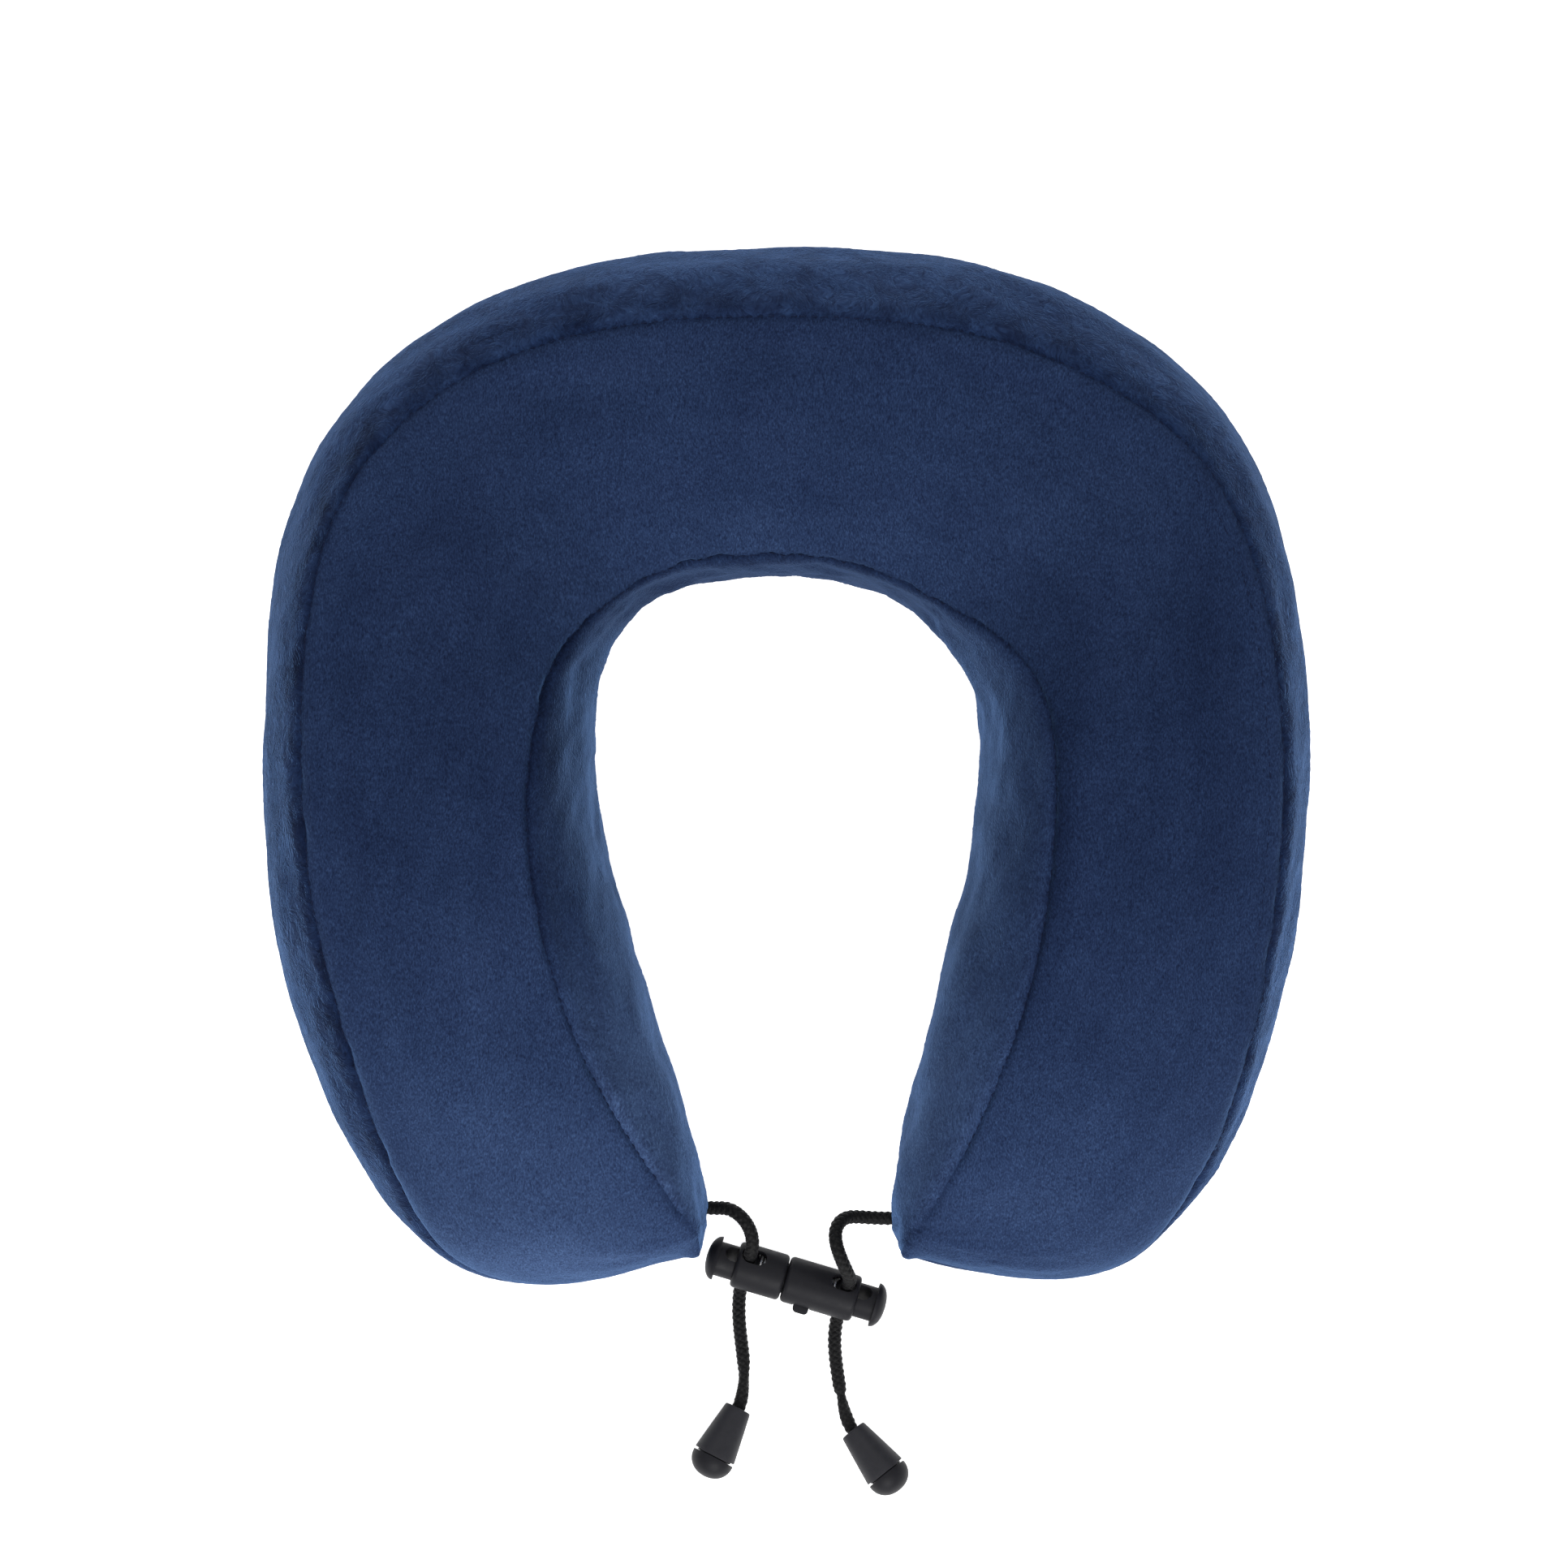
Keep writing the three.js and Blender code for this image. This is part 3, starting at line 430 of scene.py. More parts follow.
def paint_light_and_shade(panel, P, S, D, L, T):
    """Painted light and shade as a colour multiplier, 1 is neutral: darker over the humps and in and beside the seams,
    lighter on the tips, the lower inner walls, the back outer wall and the tip edges, with a little random tone on top.
    """
    x, y = P[..., 0], P[..., 1]
    blob = lambda cx, cy, rx, ry: np.exp(-((x - cx) / rx) ** 2 - ((y - cy) / ry) ** 2)
    painted_tone = np.ones(S.shape)
    # painted light and shade blobs from the table below
    for p, cx, cy, rx, ry, amount in PAINTED_LIGHT_BLOBS:
        if p in (panel, "all"):
            painted_tone += amount * blob(cx, cy, rx, ry)
    # painted shade in a band beside the right inner seam, and a little painted sheen along the back inner edge
    if panel == "top":
        inner = (1 - T) * L
        band = np.exp(-(inner / 8.0) ** 2) * (x > 0) * np.exp(-((y + 18) / 48.0) ** 2)
        painted_tone -= 0.46 * band
        painted_tone += 0.10 * np.exp(-(inner / 14.0) ** 2) * np.exp(-((y - 60) / 40.0) ** 2)
    # painted shade in and beside every seam, ragged towards the tips: fainter along the outer wall and outer seam,
    # deeper along the inner seam
    arm = np.clip((np.minimum(S, U_LEN - S) - 20.0) / 50.0, 0, 1)
    close = np.clip(np.minimum(S, U_LEN - S) / 9.0, 0.25, 1)
    ragged = 1 + 0.5 * (1 - arm) * smooth_noise(S, T * L, 51, 3.2, 2.0)
    light = (panel == "outer") | (panel == "top") & (T < 0.5)
    painted_tone -= np.where(light, 0.26, 0.40) * close * ragged * np.exp(-(D / (2.4 - 1.1 * arm)) ** 2)
    # more painted shade on the inner wall just below its seam near the tips, twice as much on the right
    if panel == "inner":
        painted_tone -= 0.30 * (1 - arm) * ragged * np.exp(-(T * L / 6.5) ** 2) * (0.5 + 0.5 * (x > 0))
    if panel == "outer":  # matted pile beside the seam: painted shade darkens it in patches just below the top seam, and a painted sheen band lightens the back outer wall towards its rim
        down = (1 - T) * L
        back = np.clip((y + 10) / 70, 0, 1)
        left = 0.45 + 0.55 * np.clip(-x / 60, 0, 1)
        patches = np.clip(0.55 + 0.55 * smooth_noise(S, T * L, 61, 15, 9), 0, 1.4)
        painted_tone -= 0.50 * back * left * patches * np.exp(-((down - 5.5) / 6.5) ** 2)
        painted_tone -= 0.18 * (1 - back) * patches * np.exp(-((down - 3) / 4.0) ** 2)
        painted_tone += 0.22 * back * np.exp(-((down - 21) / 9.0) ** 2)
    painted_tone += 0.05 * smooth_noise(S, T * L, 31 + len(panel), 70, 40) + 0.03 * smooth_noise(S, T * L, 41 + len(panel), 22, 14)
    return np.clip(painted_tone, 0.3, 2.2)


# painted light and shade blobs (panel, x, y, rx, ry, amount): darker humps, left inner wall and outer rims, lighter
# tips, lower inner walls and back outer wall, and painted highlights along the front edges of the tips
PAINTED_LIGHT_BLOBS = [
    ("top", -105, 8, 46, 60, -0.22), ("top", 108, 8, 46, 60, -0.27), ("top", 0, 108, 50, 26, -0.10),
    ("top", -70, -118, 46, 36, 0.58), ("top", 78, -118, 46, 36, 0.34),
    ("top", -88, -66, 30, 30, 0.06), ("top", 88, -66, 30, 30, -0.12),
    ("outer", -100, 118, 42, 30, 0.16), ("outer", 0, 148, 70, 30, 0.46),
    ("inner", -32, -98, 30, 42, 1.6), ("inner", 40, -98, 30, 42, 1.0), ("inner", -58, 6, 24, 52, -0.5),
    ("outer", -150, 0, 26, 90, -0.34), ("outer", 150, 0, 26, 90, -0.2), ("top", 0, 62, 60, 22, 0.18),
    ("outer", -66, -150, 36, 16, 1.4), ("top", -66, -142, 34, 10, 1.0), ("outer", -128, -84, 26, 44, -0.26), ("outer", 70, -150, 40, 16, 0.7),
]

plush_pieces = {}
cs, s, idx = sections(N_ST, ends=7)
G = {}
for panel, middle in (("outer", 34), ("top", 56), ("inner", 34)):
    P, S, T, D = panel_grid(panel, middle, cs, s, idx)
    P = P + moved(panel, S, T)
    n = normals(P)
    n *= outward(P, n, cs)
    G[panel] = (P, n, S, T, D)
shared = seam_frames(G)
for panel, (P, n, S, T, D) in G.items():
    L = D / np.maximum(np.minimum(T, 1 - T), 1e-6)
    L = np.repeat(L[:, [L.shape[1] // 2]], L.shape[1], 1)
    near0 = T < 0.5
    edge = np.where(near0[..., None], shared[panel, 0][:, None], shared[panel, 1][:, None])
    w = np.exp(-(D / 2.6) ** 2)[..., None]
    n = n * (1 - w) + edge * w
    n /= np.linalg.norm(n, axis=-1, keepdims=True)
    # the pull of the stitching varies along each seam, the same for the two panels that meet there
    which = np.where(near0, 0 if panel != "inner" else 5, 0 if panel == "outer" else 5)
    pucker = 0.85 + 0.22 * np.where(which == 0, smooth_noise(S, 0 * S, 11, 26, 50), smooth_noise(S, 0 * S, 15, 26, 50))
    pucker = np.clip(pucker + 0.10 * smooth_noise(S, 0 * S, 12, 7, 50), 0.45, 1.4)
    floor_edge = (panel == "outer") & near0 | (panel == "inner") & ~near0
    # the groove opens into a shallow valley towards each tip and is gone at its corner
    tip = np.clip(np.minimum(S, U_LEN - S) / 16.0, 0, 1)
    tip = tip * tip * (3 - 2 * tip)
    arm = np.clip((np.minimum(S, U_LEN - S) - 20.0) / 50.0, 0, 1)
    depth = np.where(floor_edge, 0.5, 0.55 + np.where(which == 0, 0.3, 0.6) * arm) * pucker
    width = np.where(floor_edge, 1.25, 1.9 - 0.65 * arm)
    P = P - n * (tip * (depth * np.exp(-(D / width) ** 1.5) + 0.3 * pucker * np.exp(-(D / 5.5) ** 2) - 0.28 * arm * np.exp(-((D - 4.5) / 2.6) ** 2)))[..., None]
    # faint hollows where the foam has been pressed
    fade = np.clip(D / 12, 0, 1) * (0.2 + 0.8 * tip)
    wave = 0.34 * smooth_noise(S, T * L, 21, 90, 60) + 0.14 * smooth_noise(S, T * L, 22, 30, 26)
    P = P + n * (fade * wave + 0.05 * np.clip(D / 3, 0, 1) * tip * RNG.randn(*S.shape))[..., None]
    if panel != "top":
        P[..., 2] = np.maximum(P[..., 2], 0.02)
    M, N = P.shape[:2]
    fn = np.cross(P[1:, :-1] - P[:-1, :-1], P[:-1, 1:] - P[:-1, :-1])
    uv = np.stack([S, T * L], -1) * MM
    o = make_mesh("plush_" + panel, P.reshape(-1, 3) * MM, grid_faces(M, N, flip=bool((fn * n[:-1, :-1]).sum() > 0)), uv.reshape(-1, 2))
    # the painted light and shade is stored per vertex; the plush material multiplies its colour by it
    a = o.data.attributes.new("painted_light_shade", "FLOAT", "POINT")
    a.data.foreach_set("value", paint_light_and_shade(panel, P, S, D, L, T).astype(np.float32).ravel())
    plush_pieces[panel] = o
    SEAMS[panel] = (P, n, s)
    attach(o, "pillow")
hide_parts("outer_wall_panel")
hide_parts("top_panel")
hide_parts("inner_wall_panel")


# underside: a closed flat piece with the zip slot cut through
def evaluated(obj):
    bpy.context.view_layer.update()
    ev = obj.evaluated_get(bpy.context.evaluated_depsgraph_get())
    mesh = bpy.data.meshes.new_from_object(ev)
    old = obj.data
    obj.modifiers.clear()
    obj.data = mesh
    bpy.data.meshes.remove(old)
    return obj


def carve(obj, cutter, operation="DIFFERENCE"):
    mod = obj.modifiers.new("cut", "BOOLEAN")
    mod.operation, mod.object, mod.solver = operation, cutter, "EXACT"
    evaluated(obj)
    bpy.data.objects.remove(cutter, do_unlink=True)
    return obj


def cube(name, x0, x1, y0, y1, z0, z1):
    v = [(x, y, z) for x in (x0, x1) for y in (y0, y1) for z in (z0, z1)]
    f = [(0, 1, 3, 2), (4, 6, 7, 5), (0, 4, 5, 1), (2, 3, 7, 6), (0, 2, 6, 4), (1, 5, 7, 3)]
    return make_mesh(name, np.array(v) * MM, f, smooth=False)


cs, s, idx = sections(220, ends=5)
under = []
for c in cs:
    a, b = c["bottom"][0, 0], c["bottom"][-1, 0]
    x = np.linspace(a, b, 12)
    under.append(place(c, np.c_[x, np.zeros(12)]))
under = np.array(under)
M, N = under.shape[:2]
low = under.reshape(-1, 3)
high = low + [0, 0, 1.7]
faces = grid_faces(M, N) + [tuple(i + M * N for i in f[::-1]) for f in grid_faces(M, N)]
rim = [m * N for m in range(M)] + [(M - 1) * N + j for j in range(1, N)] + [m * N + N - 1 for m in range(M - 2, -1, -1)] + [j for j in range(N - 2, 0, -1)]
faces += [(rim[k], rim[(k + 1) % len(rim)], rim[(k + 1) % len(rim)] + M * N, rim[k] + M * N) for k in range(len(rim))]
plush_bottom = make_mesh("plush_bottom", np.r_[low, high] * MM, faces, np.r_[low[:, :2], high[:, :2]] * MM)
bm = bmesh.new()
bm.from_mesh(plush_bottom.data)
bmesh.ops.remove_doubles(bm, verts=bm.verts, dist=1e-6)
bmesh.ops.recalc_face_normals(bm, faces=bm.faces)
bm.to_mesh(plush_bottom.data)
bm.free()
carve(plush_bottom, cube("slot_cutter", -78.3, 78.3, 92.7, 107.3, -5, 6))
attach(plush_bottom, "pillow")
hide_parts("bottom_panel")


# the foam inside, pressed in a little by the cover
foam_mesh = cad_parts["foam_core"].data.copy()
foam_mesh.materials.clear()
foam_block = bpy.data.objects.new("foam_block", foam_mesh)
bpy.context.scene.collection.objects.link(foam_block)
bm = bmesh.new()
bm.from_mesh(foam_mesh)
bmesh.ops.remove_doubles(bm, verts=bm.verts, dist=2e-5)
bm.normal_update()
for vert in bm.verts:
    if vert.co.z > 0.012:
        vert.co -= vert.normal * 0.0024 * min(1.0, (vert.co.z - 0.012) / 0.01)
for vert in bm.verts:  # and short of the two sewn corners
    w = min(1.0, max(0.0, (-0.108 - vert.co.y) / 0.036))
    vert.co.y += 0.0065 * w
    vert.co.x += 0.13 * w * (math.copysign(0.076, vert.co.x) - vert.co.x)
for f in bm.faces:
    f.smooth = True
bm.to_mesh(foam_mesh)
bm.free()
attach(foam_block, "pillow")
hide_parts("foam_core")
# thin guard strip behind the teeth, so that the foam doesn't show between them
guard = make_mesh("zip_guard_strip", [(x * MM, y * MM, z * MM) for x in (-75, 75) for y in (94, 106) for z in (7.0, 7.3)],
                  [(0, 1, 3, 2), (4, 6, 7, 5), (0, 4, 5, 1), (2, 3, 7, 6), (0, 2, 6, 4), (1, 5, 7, 3)], smooth=False)
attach(guard, "pillow")

# ---------------------------------------------------------------- stitching
def stitch_run(name, line, nrm, lift, pitch=3.0, length=1.9, r=0.12, skip=0.0, seed=5):
    """A row of short thread stitches lying in a seam."""
    seg = np.r_[0, np.cumsum(np.linalg.norm(np.diff(line, axis=0), axis=1))]
    total = seg[-1]
    verts, faces = [], []
    k = int((total - 2 * skip) / pitch)
    ring = [(math.cos(a), math.sin(a)) for a in np.linspace(0, 2 * math.pi, 7)[:-1]]
    rnd = np.random.RandomState(seed)
    for i in range(k):
        sunk = 0.38 * rnd.rand() ** 1.2
        d0 = skip + i * pitch + 0.25 * rnd.randn()
        ds = d0 + np.array([0, 0.12, 0.3, 0.5, 0.7, 0.88, 1.0]) * length
        p = np.c_[[np.interp(ds, seg, line[:, j]) for j in range(3)]].T
        nn = np.c_[[np.interp(ds, seg, nrm[:, j]) for j in range(3)]].T
        arch = np.array([-0.25, 0.05, 0.16, 0.2, 0.16, 0.05, -0.25])
        p = p + nn * (lift - sunk + arch[:, None])
        t = p[-1] - p[0]
        t /= np.linalg.norm(t)
        base = len(verts)
        rad = r * np.array([0.35, 0.85, 1, 1, 1, 0.85, 0.35])
        for q, m, rr in zip(p, nn, rad):
            side = np.cross(t, m)
            side /= np.linalg.norm(side)
            for cx, cy in ring:
                verts.append(q + rr * (cx * side + cy * m))
        for a in range(6):
            for b in range(6):
                c = (b + 1) % 6
                faces.append((base + a * 6 + b, base + a * 6 + c, base + a * 6 + 6 + c, base + a * 6 + 6 + b))
        faces.append(tuple(base + j for j in range(6))[::-1])
        faces.append(tuple(base + 36 + j for j in range(6)))
    o = make_mesh(name, np.array(verts) * MM, faces)
    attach(o, "pillow")
    return o


stitches = []
Po, no, so = SEAMS["outer"]
Pt, nt, st_ = SEAMS["top"]
Pi, ni, si = SEAMS["inner"]


def between(a, b, na, nb):
    p, n = (a + b) / 2, na + nb
    return p, n / np.linalg.norm(n, axis=1, keepdims=True)


for name, (p, n), lift, clear in (
        ("stitch_outer_top", between(Po[:, -1], Pt[:, 0], no[:, -1], nt[:, 0]), 0.20, 30),
        ("stitch_inner_top", between(Pt[:, -1], Pi[:, 0], nt[:, -1], ni[:, 0]), 0.14, 62)):
    e = (so > clear) & (so < U_LEN - clear)
    stitches.append(stitch_run(name, p[e], n[e], lift))
# a second row holds the seam allowance down along the right side
k = [int(np.argmin(np.abs(st_ - U_LEN * f))) for f in (0.66, 0.83)]
stitches.append(stitch_run("stitch_outer_second", Pt[k[0]:k[1], 7], nt[k[0]:k[1], 7], 0.03, pitch=3.2, length=2.0))

# ---------------------------------------------------------------- clasp frame
AX = np.array([0.959, -0.284, 0.0])
AX /= np.linalg.norm(AX)
NR = np.array([-AX[1], AX[0], 0.0])
CLASP = np.array([-0.1, -150.2, 11.2])
TILT = 52 * DEG
HOLE = math.cos(TILT) * NR + np.array([0, 0, math.sin(TILT)])
CLASP_M = Matrix(((AX[0], NR[0], 0, CLASP[0] * MM), (AX[1], NR[1], 0, CLASP[1] * MM), (0, 0, 1, CLASP[2] * MM), (0, 0, 0, 1)))
LEFT_S, RIGHT_S = -11.8, 18.3
LEFT_LEN, RIGHT_LEN, NECK = 15.2, 22.0, 5.7


def on_axis(s, d=0.0):
    return CLASP + AX * s + HOLE * d


def lathe(name, profile, seg=64, close=True):
    """Turned about +X: profile of (position, radius), ends on the axis if close."""
    verts, faces, rings = [], [], []
    for x, r in profile:
        if r < 1e-6:
            rings.append([len(verts)])
            verts.append((x, 0, 0))
        else:
            rings.append(list(range(len(verts), len(verts) + seg)))
            verts += [(x, r * math.cos(a), r * math.sin(a)) for a in np.linspace(0, 2 * math.pi, seg + 1)[:-1]]
    pairs = list(zip(rings, rings[1:])) + ([] if close else [(rings[-1], rings[0])])
    for a, b in pairs:
        for i in range(seg):
            j = (i + 1) % seg
            if len(a) == 1 and len(b) > 1:
                faces.append((a[0], b[j], b[i]))
            elif len(b) == 1 and len(a) > 1:
                faces.append((a[i], a[j], b[0]))
            elif len(a) > 1:
                faces.append((a[i], a[j], b[j], b[i]))
    o = make_mesh(name, np.array(verts) * MM, faces)
    bm = bmesh.new()
    bm.from_mesh(o.data)
    bmesh.ops.recalc_face_normals(bm, faces=bm.faces)
    bm.to_mesh(o.data)
    bm.free()
    return o


def fillet(points, radii, steps=6):
    """Rounds the corners of an open profile."""
    out = [points[0]]
    for i in range(1, len(points) - 1):
        p, a, b, r = np.array(points[i], float), np.array(points[i - 1], float), np.array(points[i + 1], float), radii[i]
        if r <= 0:
            out.append(tuple(p))
            continue
        da, db = a - p, b - p
        la, lb = np.linalg.norm(da), np.linalg.norm(db)
        r = min(r, la * 0.49, lb * 0.49)
        q0, q1 = p + da / la * r, p + db / lb * r
        for t in np.linspace(0, 1, steps):
            out.append(tuple((1 - t) ** 2 * q0 + 2 * (1 - t) * t * p + t * t * q1))
    out.append(points[-1])
    return out


def oval_cutter(name, s0, s1, width, depth=24):
    r = width / 2
    loop = [(s1 - r + r * math.cos(a), r * math.sin(a)) for a in np.linspace(-math.pi / 2, math.pi / 2, 17)]
    loop += [(s0 + r + r * math.cos(a), r * math.sin(a)) for a in np.linspace(math.pi / 2, 3 * math.pi / 2, 17)]
    h = np.array([0, math.cos(TILT), math.sin(TILT)])
    across = np.cross(h, [1, 0, 0])
    verts = [np.array([x, 0, 0]) + across * y + h * z for z in (-depth / 2, depth / 2) for x, y in loop]
    n = len(loop)
    faces = [tuple(range(n))[::-1], tuple(range(n, 2 * n))] + [(i, (i + 1) % n, n + (i + 1) % n, n + i) for i in range(n)]
    o = make_mesh(name, np.array(verts) * MM, faces, smooth=False)
    bm = bmesh.new()
    bm.from_mesh(o.data)
    bmesh.ops.recalc_face_normals(bm, faces=bm.faces)
    bm.to_mesh(o.data)
    bm.free()
    return o


def tidy(o, bevel=0.22, angle=32, matrix=None, segments=3):
    """Small moulded edge radii, then smooth shading with the true edges kept crisp."""
    if bevel:
        m = o.modifiers.new("bevel", "BEVEL")
        m.width, m.segments, m.limit_method, m.angle_limit = bevel * MM, segments, "ANGLE", angle * DEG
        m.use_clamp_overlap = True
        m.harden_normals = False
        evaluated(o)
    bm = bmesh.new()
    bm.from_mesh(o.data)
    for f in bm.faces:
        f.smooth = True
    for ed in bm.edges:
        ed.smooth = not (len(ed.link_faces) == 2 and ed.calc_face_angle(0) > 38 * DEG)
    bm.to_mesh(o.data)
    bm.free()
    if matrix is not None:
        o.data.transform(matrix)
    return o


def rounded_housing(s0, s1, r):
    pts = [(s0, 0), (s0, r), (s1, r), (s1, 0)]
    return fillet(pts, [0, 1.5, 1.5, 0], 8)


def own(o, body, nodes):
    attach(o, body)
    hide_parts(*nodes)
    return o


def union(a, b):
    return carve(a, b, "UNION")


black = []
# left housing with the snap insert
b = lathe("lock_left", rounded_housing(-LEFT_LEN, -0.15, 6.9))
carve(b, lathe("c", fillet([(-LEFT_LEN - 1, 0), (-LEFT_LEN - 1, 5.4), (-2.3, 5.4), (-2.3, 0)], [0, 0, 0, 0])))
union(b, lathe("i", fillet([(-1, 0), (-1, 4.5), (6.2, 4.5), (6.2, 0)], [0, 0, 0.6, 0])))
carve(b, cube("r", 3.9, 6.8, -9, -3.4, -6, 6))
carve(b, oval_cutter("h", LEFT_S - 2.4, LEFT_S + 5.1, 5.1))
black.append(own(tidy(b, 0.25, matrix=CLASP_M), "pillow", ["left_barrel"]))
# right housing with the socket
b = lathe("lock_right", rounded_housing(0.15, RIGHT_LEN, 6.9))
carve(b, lathe("c", [(-1, 0), (-1, 4.8), (6.9, 4.8), (6.9, 0)]))
carve(b, lathe("c", [(8.5, 0), (8.5, 5.4), (RIGHT_LEN + 1, 5.4), (RIGHT_LEN + 1, 0)]))
carve(b, cube("w", 4.3, 6.5, -12, -4, -2.4, 2.4))
carve(b, cube("p", 4.3, 9.5, -12, -5.7, -2.4, 2.4))
carve(b, oval_cutter("h", RIGHT_S - 5.1, RIGHT_S + 2.4, 5.1))
black.append(own(tidy(b, 0.25, matrix=CLASP_M), "right_lock", ["right_barrel"]))
# release button
tab = [(4.6, -6.5), (9.2, -6.5)] + [(9.2 - 1.2 + 1.2 * math.cos(a), -8.6 + 1.2 - 1.2 * math.sin(a)) for a in np.linspace(0, math.pi / 2, 9)]
tab += [(4.6 + 1.2 - 1.2 * math.sin(a), -8.6 + 1.2 - 1.2 * math.cos(a)) for a in np.linspace(0, math.pi / 2, 9)]
q = len(tab)
b = make_mesh("release_tab", np.array([(x, y, z) for z in (-2.1, 2.1) for x, y in tab]) * MM,
              [tuple(range(q)), tuple(range(q, 2 * q))[::-1]] + [(i, (i + 1) % q, q + (i + 1) % q, q + i)[::-1] for i in range(q)], smooth=False)
bm = bmesh.new()
bm.from_mesh(b.data)
bmesh.ops.recalc_face_normals(bm, faces=bm.faces)
bm.to_mesh(b.data)
bm.free()
union(b, cube("k", 4.6, 6.2, -6.6, -4.9, -2.1, 2.1))
black.append(own(tidy(b, 0.45, matrix=CLASP_M), "release_button", ["release_button"]))


def plunger(name, side, end, cord_s):
    at = lambda d: end + side * d
    inner = cord_s - side * 3.5
    nose = cord_s - side * 2.35
    pts = [(inner, 0), (inner, 3.75), (nose, 3.75), (nose, 5.1), (at(NECK), 5.1), (at(NECK - 0.35), 6.3), (at(NECK - 0.25), 6.62), (at(NECK + 0.9), 6.3), (at(NECK + 2.1), 5.0), (at(NECK + 2.85), 2.9), (at(NECK + 3.1), 0)]
    prof = fillet(pts, [0, 0.3, 0, 0.2, 0.25, 0.1, 0.12, 0.7, 1.2, 1.2, 0], 5)
    o = lathe(name, prof)
    far, near = at(NECK - 1.9), cord_s - side * 2.1
    carve(o, oval_cutter("h", min(far, near), max(far, near), 4.9))
    return tidy(o, 0.2, matrix=CLASP_M)


black.append(own(plunger("plunger_left", -1, -LEFT_LEN, LEFT_S), "left_plunger", ["left_plunger"]))
black.append(own(plunger("plunger_right", 1, RIGHT_LEN, RIGHT_S), "right_plunger", ["right_plunger"]))


def tube(name, path, radius, sides=12, closed_caps=True, relief=None):
    """Mesh tube along points, with a frame carried along without twist. relief(angle, arc) adds to the radius."""
    P = np.asarray(path, float)
    T = np.gradient(P, axis=0)
    T /= np.linalg.norm(T, axis=1, keepdims=True)
    ref = np.array([0.0, 0, 1]) if abs(T[0][2]) < 0.9 else np.array([1.0, 0, 0])
    x = np.cross(ref, T[0])
    x /= np.linalg.norm(x)
    X = [x]
    for i in range(1, len(P)):
        v = X[-1] - T[i] * np.dot(X[-1], T[i])
        X.append(v / np.linalg.norm(v))
    X = np.array(X)
    Y = np.cross(T, X)
    arc = np.r_[0, np.cumsum(np.linalg.norm(np.diff(P, axis=0), axis=1))]
    ang = np.linspace(0, 2 * math.pi, sides + 1)[:-1]
    A, S = np.meshgrid(ang, arc)
    R = radius + (relief(A, S) if relief else 0)
    V = P[:, None] + (np.cos(A) * R)[..., None] * X[:, None] + (np.sin(A) * R)[..., None] * Y[:, None]
    M, N = V.shape[:2]
    verts = V.reshape(-1, 3)
    faces = [(m * N + j, m * N + (j + 1) % N, (m + 1) * N + (j + 1) % N, (m + 1) * N + j) for m in range(M - 1) for j in range(N)]
    uv = np.stack([A * radius, S], -1).reshape(-1, 2) * MM
    if closed_caps:
        verts = np.r_[verts, P[:1], P[-1:]]
        uv = np.r_[uv, [[0, 0]], [[0, 0]]]
        faces += [(M * N, (j + 1) % N, j) for j in range(N)]
        faces += [(M * N + 1, (M - 1) * N + j, (M - 1) * N + (j + 1) % N) for j in range(N)]
    o = make_mesh(name, verts * MM, faces, uv)
    bm = bmesh.new()
    bm.from_mesh(o.data)
    bmesh.ops.recalc_face_normals(bm, faces=bm.faces)
    bm.to_mesh(o.data)
    bm.free()
    return o


def helix(s0, s1, r, turns, n=260):
    """Coil with close-wound turns at the far end."""
    t = np.linspace(0, 1, n)
    a = 2 * math.pi * turns * t
    close = 1.9 / turns
    x = np.where(t < 1 - close, s0 + (s1 - s0 - 2.1 * np.sign(s1 - s0)) * t / (1 - close), s1 - np.sign(s1 - s0) * 2.1 * (1 - t) / close)
    local = np.c_[x, r * np.cos(a), r * np.sin(a)]
    return CLASP + local[:, :1] * AX + local[:, 1:2] * NR + local[:, 2:] * np.array([0, 0, 1])


springs = [
    own(tube("spring_left", helix(-2.3 - 0.6, LEFT_S + 2.8, 4.4, 5.0), 0.42), "pillow", ["left_lock_spring"]),
    own(tube("spring_right", helix(8.5 + 0.6, RIGHT_S - 2.8, 4.4, 5.0), 0.42), "right_lock", ["right_lock_spring"])]

for spring, side in zip(springs, ("left", "right")):
    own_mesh(spring)

# ---------------------------------------------------------------- cords (routes in millimetres)
LEFT_UPPER = [[-22.9, -129.2, 14.5], [-21.24, -129.23, 15.11], [-19.58, -129.17, 16.13], [-18.09, -129.1, 17.28], [-16.53, -129.31, 18.38], [-14.96, -129.93, 19.34], [-13.54, -130.87, 20.03], [-12.28, -132.08, 20.48], [-11.19, -133.55, 20.7], [-10.35, -135.21, 20.65], [-9.86, -136.79, 20.39], [-9.63, -138.24, 19.97], [-9.6, -139.68, 19.33], [-9.75, -141, 18.51], [-10.02, -142.13, 17.5]]
RIGHT_UPPER = [[31.4, -132.3, 14.5], [28.47, -132.26, 14.68], [26.22, -132.15, 14.91], [23.99, -131.99, 15.29], [21.79, -131.8, 15.95], [19.68, -131.69, 16.98], [17.84, -131.92, 18.45], [16.37, -132.63, 20.15], [15.33, -133.84, 21.89], [14.77, -135.49, 23.5], [14.7, -137.41, 24.79], [15.07, -139.49, 25.67], [15.75, -141.68, 26.01], [16.58, -143.82, 25.73], [17.41, -145.79, 24.85], [18.13, -147.44, 23.45], [18.64, -148.71, 21.6], [18.89, -149.68, 19.55], [18.85, -150.67, 17.5]]
